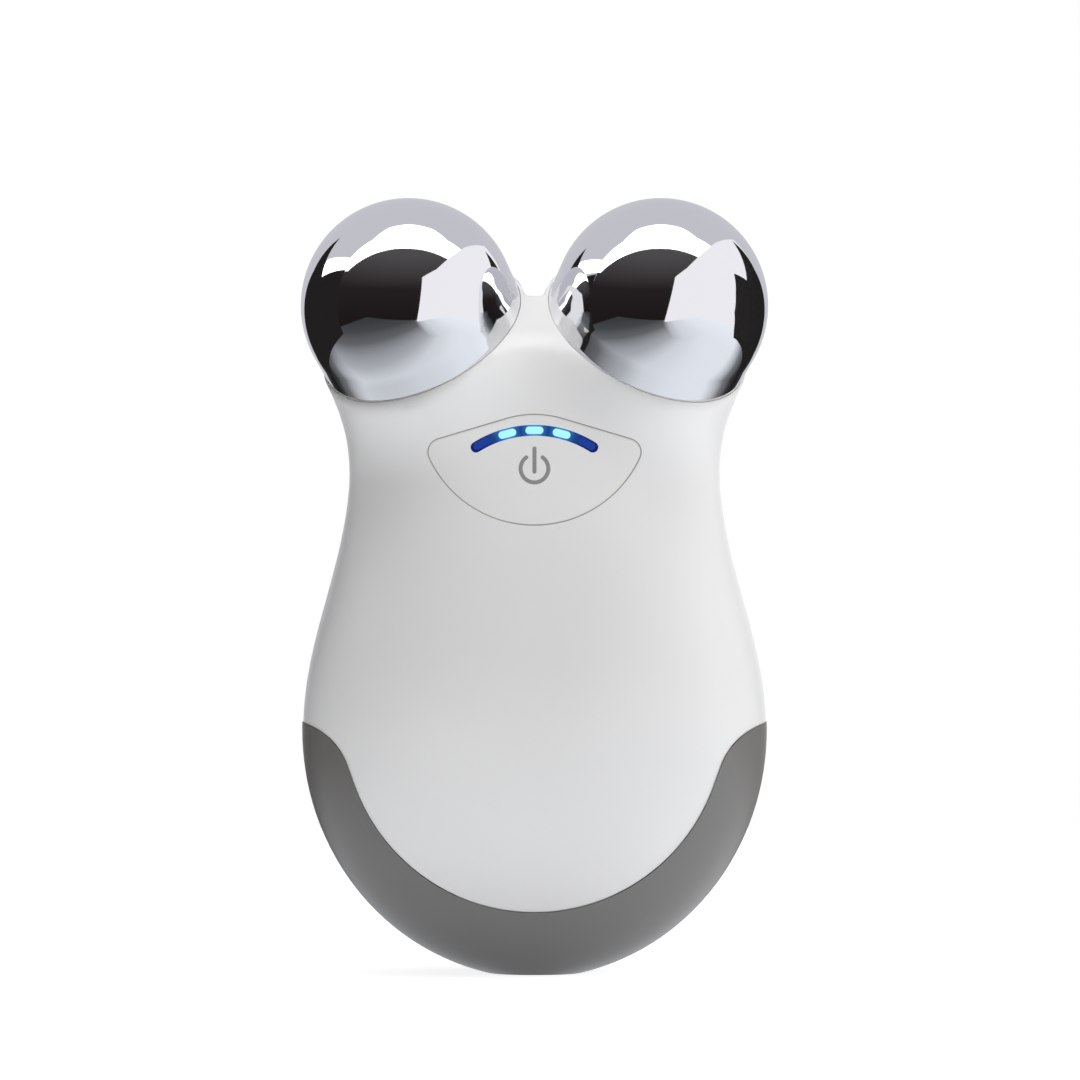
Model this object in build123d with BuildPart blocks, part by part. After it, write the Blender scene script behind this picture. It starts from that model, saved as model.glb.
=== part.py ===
"""Hand-held facial toning device: two fixed contact balls on a waisted housing with one key.

+Z is up, the key faces -Y, +X is to the right as seen from the front. The origin is on the
standing surface, under the middle of the device. All sizes are in millimetres.
"""

from build123d import *
from math import atan2, cos, degrees, hypot, pi, radians, sin, sqrt, tan
import os

os.makedirs("parts", exist_ok=True)

# ---------------------------------------------------------------- overall form
BELLY_WIDTH = 65.0  # widest across the hand
BELLY_DEPTH = 44.0  # front to back at the same height
BELLY_HEIGHT = 34.0  # height of that widest section
FOOT_WIDTH = 12.6  # flat the device stands on, side to side
FOOT_DEPTH = 17.0  # the same, front to back
WAIST_WIDTH = 52.0  # narrowest part of the neck
WAIST_DEPTH = 26.0
WAIST_HEIGHT = 70.9
NECK_RISE = 24.5  # height above the waist over which the neck closes between the balls
NECK_LEAN = 2.5  # how far the neck's middle bends forward over that height
SECTION_POWER = 2.35  # 2 is an ellipse, more is squarer
BLEND = 6.0  # how softly the cups grow out of the neck
WEB_BLEND = 12.0  # how fully the web fills the space between the two cups

# ---------------------------------------------------------------- balls and cups
BALL_DIAMETER = 30.0
BALL_SPACING = 35.2  # centre to centre
BALL_HEIGHT = 93.3  # centre above the foot
BALL_Y = -7.0  # centres stand forward of the middle
BALL_LEAN = 32.0  # degrees the cup axes lean to the front
BALL_SPLAY = 27.0  # degrees they spread apart, seen from the front
BALL_WALL = 1.2  # drawn metal shell of a ball
SKIRT_DRAFT = 2.0  # degrees of taper below a ball's equator
SKIRT_SUNK = 1.4  # skirt hidden below the rim
RIM_DROP = 5.2  # rim plane below the ball centre, along the cup axis
CUP_LIP = 0.28  # white edge left outside the skirt
BALL_FIT = 0.07  # radial gap between skirt and cup
SADDLE_HEIGHT = 94.6  # lowest point of the web between the balls
SADDLE_RADIUS = 3.6
# the valley between the cups opens to the rear: y, radius and lowest height of each section
VALLEY_SECTIONS = [
    (-30, SADDLE_RADIUS, SADDLE_HEIGHT),
    (-7, SADDLE_RADIUS, SADDLE_HEIGHT),
    (-3, 4.2, SADDLE_HEIGHT),
    (2, 7.0, 94.2),
    (6, 11.0, 93.2),
    (11, 17.0, 91.5),
    (20, 28.0, 88.0),
]
VALLEY_FIT = 0.15  # housing left round each cup where the valley passes it
LIP_DEPTH = 0.25  # thin edge, below which the skirt steps in
SKIRT_STEP = 0.95
GASKET_THICK = 0.6  # ring between a skirt's edge and the ledge in its cup
LEDGE_WIDTH = 1.7
PLUG_FOOT = 1.2  # part of the plug below the ledge, standing on the cup floor
CUP_FLOOR = 2.0
CUP_WALL = 2.0  # housing left round a pocket on the inside
STUD_RADIUS = 1.5
STUD_REACH = 5.6  # stud below the cup floor
NUT_ACROSS = 5.5
NUT_THICK = 2.4
TERMINAL_THICK = 0.5

# ---------------------------------------------------------------- housing and grip
SHELL_WALL = 1.8
GRIP_WALL = 1.6
GRIP_PROUD = 0.15  # grip stands out from the white housing
GRIP_FIT = 0.15  # gap between grip and housing
GRIP_SEAM = 0.14  # open line along the grip's upper edge
GRIP_FLOOR = 3.0
EDGE_LOW = 9.1  # lowest point of the grip's upper edge, at the middle
EDGE_RADIUS = 26.4  # round bottom of the U
EDGE_SLOPE = 70.0  # degrees at which the U climbs
EDGE_RUN = 3.05  # straight climb
EDGE_SHOULDER = 8.9  # radius that turns the edge outward at the sides
PARTING_BEND = 25.0  # radius by which the side seam follows the neck forward
TONGUE_REACH = 3.0  # locating tongues cross the side seam by this much
TONGUE_FIT = 0.15
ROOM_TOP = 89.0  # the housing is solid above this, between the cups

# ---------------------------------------------------------------- key
LENS_APEX = 78.67  # height where the two upper edges of the key would meet
LENS_SLOPE = 16.5  # degrees by which each upper edge falls
LENS_APEX_RADIUS = 13.3
LENS_BOTTOM = 62.57
LENS_BOTTOM_RADIUS = 16.2
LENS_CORNER = 2.0
KEY_GAP = 0.18
KEY_THICK = 2.7
KEY_FLANGE = 1.2  # how far the hidden rim reaches behind the housing
KEY_REST_GAP = 0.1
KEY_TRAVEL = 0.3
DOME_RADIUS = 3.1
DOME_RISE = 0.25
SYMBOL_HEIGHT = 70.5
SYMBOL_RADIUS = 1.92
SYMBOL_STROKE = 0.56
SYMBOL_OPENING = 36.0  # degrees each side of the top
SYMBOL_BAR = 3.76
SYMBOL_BAR_HEIGHT = 71.68
SYMBOL_DEPTH = 0.4
LIGHT_ARC_HEIGHT = 60.6  # centre of the light bar's curve
LIGHT_ARC_RADIUS = 15.2
LIGHT_HALF_ANGLE = 32.2
LIGHT_BAND = 1.5
LIGHT_THICK = 1.5
LED_PITCH = 14.3  # degrees along the bar
LED_COUNT = 5

# ---------------------------------------------------------------- inside
BOARD_WIDTH = 34.0
BOARD_LOW = 38.0
BOARD_HIGH = 79.0
BOARD_THICK = 1.2
BOARD_FRONT = -5.6  # y of the board's front face
BOARD_SCREW_X = 14.0
BOARD_SCREW_LOW = 42.0
BOARD_SCREW_HIGH = 61.5
BOSS_RADIUS = 2.4
SCREW_RADIUS = 0.95
SCREW_HEAD = 1.8
SCREW_HEAD_THICK = 1.3
SCREW_SLACK = 0.05
RETAINER_FRONT = -7.45
RETAINER_THICK = 1.0
RETAINER_REACH = 3.2
RETAINER_EAR_X = 19.0
RETAINER_EAR_HEIGHT = 73.4
RETAINER_PIN = 0.8
SWITCH_SIZE = 6.0
SWITCH_TALL = 3.4
SWITCH_HEIGHT = 69.5
PLUNGER_RADIUS = 1.7
PLUNGER_REACH = 0.8
PLUNGER_FIT = 0.05
PLUNGER_GAP = 0.05  # key boss stops this short of the plunger at rest
HOUSING_SCREW_X = 25.5
HOUSING_SCREW_HEIGHT = 21.0
HOUSING_SCREW_SEAT = 4.0  # y of the head's seat
BASE_SCREW_Y = 4.5
BATTERY_WIDTH = 34.0
BATTERY_TALL = 30.0
BATTERY_THICK = 8.0
BATTERY_LOW = 22.4
BATTERY_FRONT = 4.0
PAD_THICK = 1.0
SHELF_THICK = 1.4
JACK_HEIGHT = 14.5
JACK_TILT = 19.0  # degrees the inlet looks down, square to the wall
JACK_BORE = 1.75
JACK_BODY = 3.2
JACK_FLANGE = 3.8
JACK_FLANGE_THICK = 0.8
JACK_LONG = 9.0
JACK_PAD = 2.6  # depth of the flat seat inside
FOOT_PAD_WIDTH = 8.0
FOOT_PAD_LONG = 14.0
FOOT_PAD_THICK = 0.6
LEAD_RADIUS = 0.5
LEAD_PAD_HEIGHT = 76.0
LEAD_PAD_LOW = 40.0
LEAD_ARCH = 2.5  # height of a lead's bow over the battery
LUG_LONG = 9.0  # screw lug behind the front shell
BOARD_SCREW_LONG = 6.0
BASE_BOSS_TOP = 11.0
BASE_BOSS_RADIUS = 2.1
BASE_SCREW_SEAT = 1.8  # height of the base screws' seats in the grip floor
RIB_X = 9.0
RIB_THICK = 1.2
TONGUE_LOW = 55.0
TONGUE_TALL = 6.0
TONGUE_WIDE = 10.0
TERMINAL_RADIUS = 3.0
TERMINAL_TAB = 6.0
PLUG_RISE = 2.1
PLUG_FIT = 0.02
STEP_GAP = 0.05
PLUNGER_LONG = 1.6
LED_LONG = 1.6
LED_WIDE = 0.8
LED_TALL = 0.6
SHIELD_BAND = 3.2
SHIELD_WALL = 0.5
SHIELD_CELL = 3.0
SHIELD_TALL = 3.6
CHIP_SIZE = 5.0
CHIP_TALL = 0.9
CHIP_SPOT = (0, 52)  # x and height of each component on the board's back
COIL_SPOT = (-7, 66)
COIL_WIDE = 10.0
COIL_LONG = 9.0
COIL_FLANGE = 2.0
COIL_GAP = 3.0  # winding between the flanges
CAN_SPOTS = [(8, 58), (8, 67)]
CAN_RADIUS = 2.5
CAN_TALL = 5.0
BEEPER_SPOT = (-7, 47.5)
BEEPER_RADIUS = 4.5
BEEPER_TALL = 2.6
BEEPER_HOLE = 0.8
SOCKET_SPOT = (8, 46)
SOCKET_WIDE = 6.0
SOCKET_LONG = 4.0
SOCKET_TALL = 3.5

REACH = 60.0  # longer than anything on the device, for cutting tools
SECTION_POINTS = 40
CUP_RADIUS = BALL_DIAMETER / 2 - tan(radians(SKIRT_DRAFT)) * RIM_DROP + BALL_FIT + CUP_LIP
SKIRT_END = RIM_DROP + SKIRT_SUNK
POCKET_RADIUS = CUP_RADIUS - CUP_LIP
LEDGE_DEPTH = SKIRT_END + GASKET_THICK
SKIRT_POCKET = POCKET_RADIUS - SKIRT_STEP
SEAT_RADIUS = SKIRT_POCKET - LEDGE_WIDTH
POCKET_DEPTH = LEDGE_DEPTH + PLUG_FOOT
FLOOR_UNDER = POCKET_DEPTH + CUP_FLOOR
CUP_ROOT = 2 * FLOOR_UNDER
BOARD_BACK = BOARD_FRONT + BOARD_THICK
INSIDE_FLOOR = GRIP_FLOOR + GRIP_FIT + SHELL_WALL
STUD_HOLE = STUD_RADIUS + 0.15
FORM_TOP = BALL_HEIGHT + 6.3
SIDES = (-1, 1)  # left, right


# ---------------------------------------------------------------- shape of the housing
def dome_semi(breadth, foot):
    """Half height of the ellipse whose lower end is cut to a flat of the foot's size."""
    return BELLY_HEIGHT / sqrt(1 - (foot / breadth) ** 2)


def half_size(breadth, foot, waist, height, inset):
    """Half of the trunk's width or depth at a height, with the wall taken off by inset."""
    if height < BELLY_HEIGHT:
        rise = (BELLY_HEIGHT - height) / (dome_semi(breadth, foot) - inset)
        return (breadth / 2 - inset) * sqrt(1 - rise**2)
    if height < WAIST_HEIGHT:
        turn = pi * (height - BELLY_HEIGHT) / (WAIST_HEIGHT - BELLY_HEIGHT)
        return waist / 2 + (breadth - waist) / 4 * (1 + cos(turn)) - inset
    rise = min((height - WAIST_HEIGHT) / NECK_RISE, 0.99)
    return (waist / 2 - inset) * sqrt(1 - rise**2)


def half_width(height, inset):
    return half_size(BELLY_WIDTH, FOOT_WIDTH, WAIST_WIDTH, height, inset)


def half_depth(height, inset):
    return half_size(BELLY_DEPTH, FOOT_DEPTH, WAIST_DEPTH, height, inset)


def middle_y(height):
    """The trunk's centre line bends forward above the waist."""
    return -NECK_LEAN * (max(height - WAIST_HEIGHT, 0) / NECK_RISE) ** 2


def cup_axis(side):
    """Unit direction in which a ball looks out of its cup."""
    level = cos(radians(BALL_LEAN))
    return (
        side * sin(radians(BALL_SPLAY)) * level,
        -sin(radians(BALL_LEAN)),
        cos(radians(BALL_SPLAY)) * level,
    )


def trunk_distance(x, y, height, inset):
    """Roughly how far a point lies outside the trunk's squarish oval section."""
    width, depth = half_width(height, inset), half_depth(height, inset)
    u, v = abs(x) / width, abs(y - middle_y(height)) / depth
    size = (u**SECTION_POWER + v**SECTION_POWER) ** (1 / SECTION_POWER)
    slope_u = (u / size) ** (SECTION_POWER - 1) / width
    slope_v = (v / size) ** (SECTION_POWER - 1) / depth
    return (size - 1) / hypot(slope_u, slope_v)


def cup_distance(x, y, height, side, inset):
    """How far a point lies outside a cup: a round-ended rod along the cup axis."""
    ax, ay, az = cup_axis(side)
    px, py, pz = x - side * BALL_SPACING / 2, y - BALL_Y, height - BALL_HEIGHT
    along = max(px * ax + py * ay + pz * az, -LEDGE_DEPTH)
    return hypot(px - ax * along, py - ay * along, pz - az * along) - CUP_RADIUS + inset


def soft_union(first, second, blend):
    """Join two distances with a rounded inner corner."""
    near = max(blend - abs(first - second), 0) / blend
    return min(first, second) - near**2 * blend / 4


def form_distance(x, y, height, inset):
    left, right = (cup_distance(x, y, height, side, inset) for side in SIDES)
    return soft_union(soft_union(left, right, WEB_BLEND), trunk_distance(x, y, height, inset), BLEND)


def outline(height, inset):
    """Points round one level section, found outside-in along rays from the centre line."""
    points = []
    aspect = half_depth(height, inset) / half_width(height, inset)
    for step in range(SECTION_POINTS):
        turn = pi / 2 + 2 * pi * step / SECTION_POINTS
        dx, dy = cos(turn), sin(turn) * max(aspect, 0.55)
        dx, dy = dx / hypot(dx, dy), dy / hypot(dx, dy)
        outer = REACH
        while form_distance(dx * outer, middle_y(height) + dy * outer, height, inset) > 0:
            outer -= 0.5
        inner, outer = outer, outer + 0.5
        for _ in range(16):
            middle = (inner + outer) / 2
            if form_distance(dx * middle, middle_y(height) + dy * middle, height, inset) > 0:
                outer = middle
            else:
                inner = middle
        points.append(Vector(dx * inner, middle_y(height) + dy * inner))
    return points


def levels(floor):
    """Section heights: close together near the foot and across the cups."""
    dome = [BELLY_HEIGHT - (BELLY_HEIGHT - floor) * cos(radians(a)) for a in (0, 10, 20, 31, 43, 56, 70)]
    flank = [BELLY_HEIGHT + (WAIST_HEIGHT - BELLY_HEIGHT) * step / 6 for step in range(6)]
    neck = [WAIST_HEIGHT + (FORM_TOP - WAIST_HEIGHT) * step / 15 for step in range(16)]
    return dome + flank + neck


def form(inset, floor=0.0):
    """The whole smooth housing form as one solid, its surface moved inward by inset."""
    with BuildPart() as body:
        for height in levels(max(floor, inset, 0)):
            with BuildSketch(Plane.XY.offset(height)):
                with BuildLine():
                    knots = [float(step) for step in range(SECTION_POINTS + 1)]
                    add(Edge.make_spline(outline(height, inset), periodic=True, parameters=knots))
                make_face()
        loft()
    return body.part


def cup_plane(side, along=0.0):
    """Plane square to a cup axis, at a distance along it from the ball centre."""
    axis = Vector(*cup_axis(side))
    centre = Vector(side * BALL_SPACING / 2, BALL_Y, BALL_HEIGHT)
    inward = Vector(-side, 0, 0)
    x_dir = inward - axis * inward.dot(axis)
    return Plane(origin=centre + axis * along, x_dir=x_dir, z_dir=axis)


def turned(side, *profile):
    """Solid of revolution about a cup axis from (radius, distance along the axis) points."""
    base = cup_plane(side)
    with BuildPart() as body:
        with BuildSketch(Plane(origin=base.origin, x_dir=base.x_dir, z_dir=base.y_dir * -1)):
            with BuildLine():
                Polyline(*profile, close=True)
            make_face()
        revolve(axis=Axis(base.origin, base.z_dir))
    return body.part


def upright(y):
    """Plane facing the front at depth y: extrude with a plus sign goes forward."""
    return Plane.XZ.offset(-y)


def above_rim(side):
    """Everything on one side of the middle that lies beyond that side's rim plane."""
    with BuildPart() as body:
        with Locations((side * REACH / 2, 0, BALL_HEIGHT)):
            Box(REACH, 2 * REACH, 2 * REACH)
        split(bisect_by=cup_plane(side, -RIM_DROP), keep=Keep.TOP)
    return body.part


def below_edge(lift):
    """Everything below the grip's U-shaped upper edge, with that edge raised by lift."""
    climb = radians(EDGE_SLOPE)
    low = EDGE_LOW + lift
    foot_x, foot_z = EDGE_RADIUS * sin(climb), low + EDGE_RADIUS * (1 - cos(climb))
    knee_x, knee_z = foot_x + EDGE_RUN * cos(climb), foot_z + EDGE_RUN * sin(climb)
    turn_x, turn_z = knee_x + EDGE_SHOULDER * sin(climb), knee_z - EDGE_SHOULDER * cos(climb)
    top_z = turn_z + EDGE_SHOULDER
    with BuildPart() as body:
        with BuildSketch(Plane.XZ):
            with BuildLine():
                CenterArc((0, low + EDGE_RADIUS), EDGE_RADIUS, -90, EDGE_SLOPE)
                Line((foot_x, foot_z), (knee_x, knee_z))
                CenterArc((turn_x, turn_z), EDGE_SHOULDER, 90 + EDGE_SLOPE, -EDGE_SLOPE)
                Polyline((turn_x, top_z), (REACH, top_z), (REACH, -REACH), (0, -REACH), (0, low))
            make_face()
            mirror(about=Plane.YZ)
        extrude(amount=REACH, both=True)
    return body.part


def front_half():
    """Everything in front of the seam, which bends forward to pass through the cup axes."""
    _, ay, az = cup_axis(1)
    tilt = atan2(-ay, az)
    bend_y, bend_z = PARTING_BEND * (1 - cos(tilt)), PARTING_BEND * sin(tilt)
    start_z = BALL_HEIGHT - (-BALL_Y - bend_y) / tan(tilt) - bend_z
    end_y = -bend_y - REACH * sin(tilt)
    end_z = start_z + bend_z + REACH * cos(tilt)
    with BuildPart() as body:
        with BuildSketch(Plane.YZ):
            with BuildLine():
                Line((0, -REACH), (0, start_z))
                CenterArc((-PARTING_BEND, start_z), PARTING_BEND, 0, degrees(tilt))
                Line((-bend_y, start_z + bend_z), (end_y, end_z))
                Polyline((end_y, end_z), (-2 * REACH, end_z), (-2 * REACH, -REACH), (0, -REACH))
            make_face()
        extrude(amount=REACH, both=True)
    return body.part


def lens(grow, near, far):
    """Prism with the key's outline, grown by a margin, from depth near forward to depth far."""
    fall = tan(radians(LENS_SLOPE))
    centre = LENS_BOTTOM + LENS_BOTTOM_RADIUS
    drop = centre - LENS_APEX
    # corner where the falling upper edge meets the round lower edge
    square, linear, rest = 1 + fall**2, 2 * drop * fall, drop**2 - LENS_BOTTOM_RADIUS**2
    corner_x = (-linear + sqrt(linear**2 - 4 * square * rest)) / (2 * square)
    corner_z = LENS_APEX - fall * corner_x
    with BuildPart() as body:
        with BuildSketch(upright(near)) as shape:
            with BuildLine():
                Polyline((-corner_x, corner_z), (0, LENS_APEX), (corner_x, corner_z))
                ThreePointArc((corner_x, corner_z), (0, LENS_BOTTOM), (-corner_x, corner_z))
            make_face()
            fillet(shape.vertices().sort_by(Axis.Y)[-1], radius=LENS_APEX_RADIUS)
            fillet(shape.vertices().group_by(Axis.X)[0], radius=LENS_CORNER)
            fillet(shape.vertices().group_by(Axis.X)[-1], radius=LENS_CORNER)
            if grow:
                offset(amount=grow, mode=Mode.REPLACE)
        extrude(amount=near - far)
    return body.part


def screw(plane, length, radius=SCREW_RADIUS, head=SCREW_HEAD, thick=SCREW_HEAD_THICK):
    """Pan-head screw whose seat is on the plane: the shank goes down, the head up."""
    with BuildPart(plane) as body:
        with Locations((0, 0, -length)):
            Cylinder(radius, length, align=(Align.CENTER, Align.CENTER, Align.MIN))
        Cylinder(head, thick, align=(Align.CENTER, Align.CENTER, Align.MIN))
        fillet(body.edges().group_by(Axis(plane.origin, plane.z_dir))[-1], radius=thick * 0.35)
        with BuildSketch(plane.offset(thick)):
            RectangleRounded(head * 1.1, head * 0.3, head * 0.1)
            RectangleRounded(head * 0.3, head * 1.1, head * 0.1)
        extrude(amount=-thick * 0.5, mode=Mode.SUBTRACT)
    return body.part


def post(x, height, near, far, radius):
    """Round post along Y from depth near forward to depth far."""
    with BuildPart() as body:
        with BuildSketch(upright(near)):
            with Locations((x, height)):
                Circle(radius)
        extrude(amount=near - far)
    return body.part


def pillar(y, low, high, radius):
    """Round upright pillar on the middle plane."""
    with BuildPart() as body:
        with BuildSketch(Plane.XY.offset(low)):
            with Locations((0, y)):
                Circle(radius)
        extrude(amount=high - low)
    return body.part


def lead(radii, *route):
    """Insulated wire along straight runs joined by arcs."""
    with BuildPart() as body:
        with BuildLine() as path:
            FilletPolyline(*route, radius=radii)
        start = path.line
        with BuildSketch(Plane(origin=start @ 0, z_dir=start % 0)):
            Circle(LEAD_RADIUS)
        sweep(path=path.line)
    return body.part


# ---------------------------------------------------------------- housing
skin = form(0)
under_grip = form(GRIP_WALL, GRIP_FLOOR + GRIP_FIT)
wall_inside = form(SHELL_WALL, INSIDE_FLOOR)
grip_zone_inside = form(GRIP_WALL + SHELL_WALL, INSIDE_FLOOR)
front_region = front_half()

with BuildPart() as below_top:
    with Locations((0, 0, ROOM_TOP)):
        Box(2 * REACH, 2 * REACH, 2 * REACH, align=(Align.CENTER, Align.CENTER, Align.MAX))

with BuildPart() as room:
    add(wall_inside)
    add(below_top.part, mode=Mode.INTERSECT)
    for side in SIDES:
        cup_outside = POCKET_RADIUS + CUP_WALL
        cup_block = [(0, -FLOOR_UNDER), (cup_outside, -FLOOR_UNDER), (cup_outside, REACH), (0, REACH)]
        add(turned(side, *cup_block), mode=Mode.SUBTRACT)

with BuildPart() as valley:
    for y, radius, low in VALLEY_SECTIONS:
        with BuildSketch(upright(y)):
            with BuildLine():
                Line((-radius, low + radius), (-radius, REACH + BALL_HEIGHT))
                Line((-radius, REACH + BALL_HEIGHT), (radius, REACH + BALL_HEIGHT))
                Line((radius, REACH + BALL_HEIGHT), (radius, low + radius))
                ThreePointArc((radius, low + radius), (0, low), (-radius, low + radius))
            make_face()
    loft()
    for side in SIDES:
        clear = CUP_RADIUS + VALLEY_FIT
        cup_rod = [(0, -CUP_ROOT), (clear, -CUP_ROOT), (clear, -RIM_DROP), (0, -RIM_DROP)]
        add(turned(side, *cup_rod), mode=Mode.SUBTRACT)

with BuildPart() as upper_room:
    add(room.part)
    add(below_edge(GRIP_SEAM + GRIP_WALL), mode=Mode.SUBTRACT)

with BuildPart() as lower_room:
    add(grip_zone_inside)
    add(below_edge(GRIP_SEAM + 2 * GRIP_WALL), mode=Mode.INTERSECT)

with BuildPart() as sleeve:
    add(under_grip)
    add(below_edge(GRIP_SEAM + GRIP_WALL), mode=Mode.INTERSECT)

with BuildPart() as housing:
    add(skin)
    add(valley.part, mode=Mode.SUBTRACT)
    for side in SIDES:
        add(above_rim(side), mode=Mode.SUBTRACT)
        pocket = [
            (0, REACH),
            (POCKET_RADIUS, REACH),
            (POCKET_RADIUS, -RIM_DROP - LIP_DEPTH),
            (SKIRT_POCKET, -RIM_DROP - LIP_DEPTH),
            (SKIRT_POCKET, -LEDGE_DEPTH),
            (SEAT_RADIUS, -LEDGE_DEPTH),
            (SEAT_RADIUS, -POCKET_DEPTH),
            (STUD_HOLE, -POCKET_DEPTH),
            (STUD_HOLE, -FLOOR_UNDER - 1),
            (0, -FLOOR_UNDER - 1),
        ]
        add(turned(side, *pocket), mode=Mode.SUBTRACT)
    add(below_edge(GRIP_SEAM), mode=Mode.SUBTRACT)
    add(sleeve.part)
    add(upper_room.part, mode=Mode.SUBTRACT)
    add(lower_room.part, mode=Mode.SUBTRACT)

# ---------------------------------------------------------------- front shell
with BuildPart() as front_bosses:
    for x in (-BOARD_SCREW_X, BOARD_SCREW_X):
        for height in (BOARD_SCREW_LOW, BOARD_SCREW_HIGH):
            add(post(x, height, BOARD_FRONT, -REACH, BOSS_RADIUS))
    for x in (-RETAINER_EAR_X, RETAINER_EAR_X):
        add(post(x, RETAINER_EAR_HEIGHT, RETAINER_FRONT, -REACH, 2 * RETAINER_PIN))
    add(under_grip, mode=Mode.INTERSECT)

with BuildPart() as front_lugs:
    for x in (-HOUSING_SCREW_X, HOUSING_SCREW_X):
        add(post(x, HOUSING_SCREW_HEIGHT, 0, -LUG_LONG, BOSS_RADIUS))
    add(pillar(-BASE_SCREW_Y, INSIDE_FLOOR - 1, BASE_BOSS_TOP, BASE_BOSS_RADIUS))
    add(under_grip, mode=Mode.INTERSECT)

with BuildPart() as front_shell:
    add(housing.part)
    add(front_region, mode=Mode.INTERSECT)
    add(front_bosses.part)
    add(front_lugs.part)
    add(lens(0, RETAINER_FRONT, -REACH), mode=Mode.SUBTRACT)
    for x in (-BOARD_SCREW_X, BOARD_SCREW_X):
        for height in (BOARD_SCREW_LOW, BOARD_SCREW_HIGH):
            hole = post(x, height, BOARD_FRONT, BOARD_FRONT - BOARD_SCREW_LONG, SCREW_RADIUS + SCREW_SLACK)
            add(hole, mode=Mode.SUBTRACT)
    for x in (-HOUSING_SCREW_X, HOUSING_SCREW_X):
        hole = post(x, HOUSING_SCREW_HEIGHT, 0, 1 - LUG_LONG, SCREW_RADIUS + SCREW_SLACK)
        add(hole, mode=Mode.SUBTRACT)
    add(pillar(-BASE_SCREW_Y, 0, BASE_BOSS_TOP - 1, SCREW_RADIUS + SCREW_SLACK), mode=Mode.SUBTRACT)
    for x in (-RETAINER_EAR_X, RETAINER_EAR_X):
        pin_end = RETAINER_FRONT + RETAINER_THICK + RETAINER_PIN
        add(post(x, RETAINER_EAR_HEIGHT, pin_end, RETAINER_FRONT, RETAINER_PIN))
front_shell.part.label = "front_shell"
export_step(front_shell.part, "parts/front_shell.step")

# ---------------------------------------------------------------- rear shell
jack_y = middle_y(JACK_HEIGHT) + half_depth(JACK_HEIGHT, 0)
jack_plane = Plane(
    origin=(0, jack_y, JACK_HEIGHT),
    x_dir=(1, 0, 0),
    z_dir=(0, cos(radians(JACK_TILT)), -sin(radians(JACK_TILT))),
)
pad_back = BATTERY_FRONT + BATTERY_THICK + PAD_THICK

with BuildPart() as rear_bosses:
    for x in (-HOUSING_SCREW_X, HOUSING_SCREW_X):
        add(post(x, HOUSING_SCREW_HEIGHT, HOUSING_SCREW_SEAT, 0, BOSS_RADIUS))
    add(pillar(BASE_SCREW_Y, INSIDE_FLOOR - 1, BASE_BOSS_TOP, BASE_BOSS_RADIUS))
    with BuildSketch(Plane.XY.offset(BATTERY_LOW)):
        Rectangle(BATTERY_WIDTH - 2, REACH, align=(Align.CENTER, Align.MIN))
        Rectangle(BATTERY_WIDTH, BATTERY_FRONT, align=(Align.CENTER, Align.MIN), mode=Mode.SUBTRACT)
    extrude(amount=-SHELF_THICK)
    with BuildSketch(Plane.XY.offset(BATTERY_LOW)):
        with Locations(*[(x, pad_back) for x in (-RIB_X, 0, RIB_X)]):
            Rectangle(RIB_THICK, REACH, align=(Align.CENTER, Align.MIN))
    extrude(amount=BATTERY_TALL - 2)
    with BuildSketch(jack_plane.offset(-JACK_PAD)):
        Circle(JACK_FLANGE + 1.4)
    extrude(amount=JACK_PAD)
    add(under_grip, mode=Mode.INTERSECT)

with BuildPart() as tongue_zone:
    with BuildSketch(Plane.XY.offset(TONGUE_LOW)):
        Rectangle(REACH, 2 * TONGUE_REACH)
        Rectangle(WAIST_WIDTH - TONGUE_WIDE, 2 * TONGUE_REACH, mode=Mode.SUBTRACT)
    extrude(amount=TONGUE_TALL)

with BuildPart() as tongues:
    add(form(SHELL_WALL + TONGUE_FIT))
    add(tongue_zone.part, mode=Mode.INTERSECT)
    add(grip_zone_inside, mode=Mode.SUBTRACT)

with BuildPart() as tongue_roots:
    add(tongue_zone.part)
    add(wall_inside, mode=Mode.INTERSECT)
    add(grip_zone_inside, mode=Mode.SUBTRACT)
    split(bisect_by=Plane.XZ, keep=Keep.BOTTOM)

with BuildPart() as rear_shell:
    add(housing.part)
    add(front_region, mode=Mode.SUBTRACT)
    add(rear_bosses.part)
    add(tongue_roots.part)
    add(tongues.part)
    for x in (-HOUSING_SCREW_X, HOUSING_SCREW_X):
        add(post(x, HOUSING_SCREW_HEIGHT, REACH, HOUSING_SCREW_SEAT, SCREW_HEAD + 0.2), mode=Mode.SUBTRACT)
        hole = post(x, HOUSING_SCREW_HEIGHT, HOUSING_SCREW_SEAT, 0, SCREW_RADIUS + 2 * SCREW_SLACK)
        add(hole, mode=Mode.SUBTRACT)
    add(pillar(BASE_SCREW_Y, 0, BASE_BOSS_TOP - 1, SCREW_RADIUS + SCREW_SLACK), mode=Mode.SUBTRACT)
    with BuildSketch(jack_plane.offset(-JACK_FLANGE_THICK)):
        Circle(JACK_FLANGE + 0.1)
    extrude(amount=REACH, mode=Mode.SUBTRACT)
    with BuildSketch(jack_plane):
        Circle(JACK_BODY + 0.05)
    extrude(amount=-2 * JACK_PAD, mode=Mode.SUBTRACT)
rear_shell.part.label = "rear_shell"
export_step(rear_shell.part, "parts/rear_shell.step")

# ---------------------------------------------------------------- grip and foot
with BuildPart() as grip_inside:
    add(form(GRIP_WALL - GRIP_FIT, GRIP_FLOOR))
    add(below_edge(GRIP_WALL), mode=Mode.INTERSECT)

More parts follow.
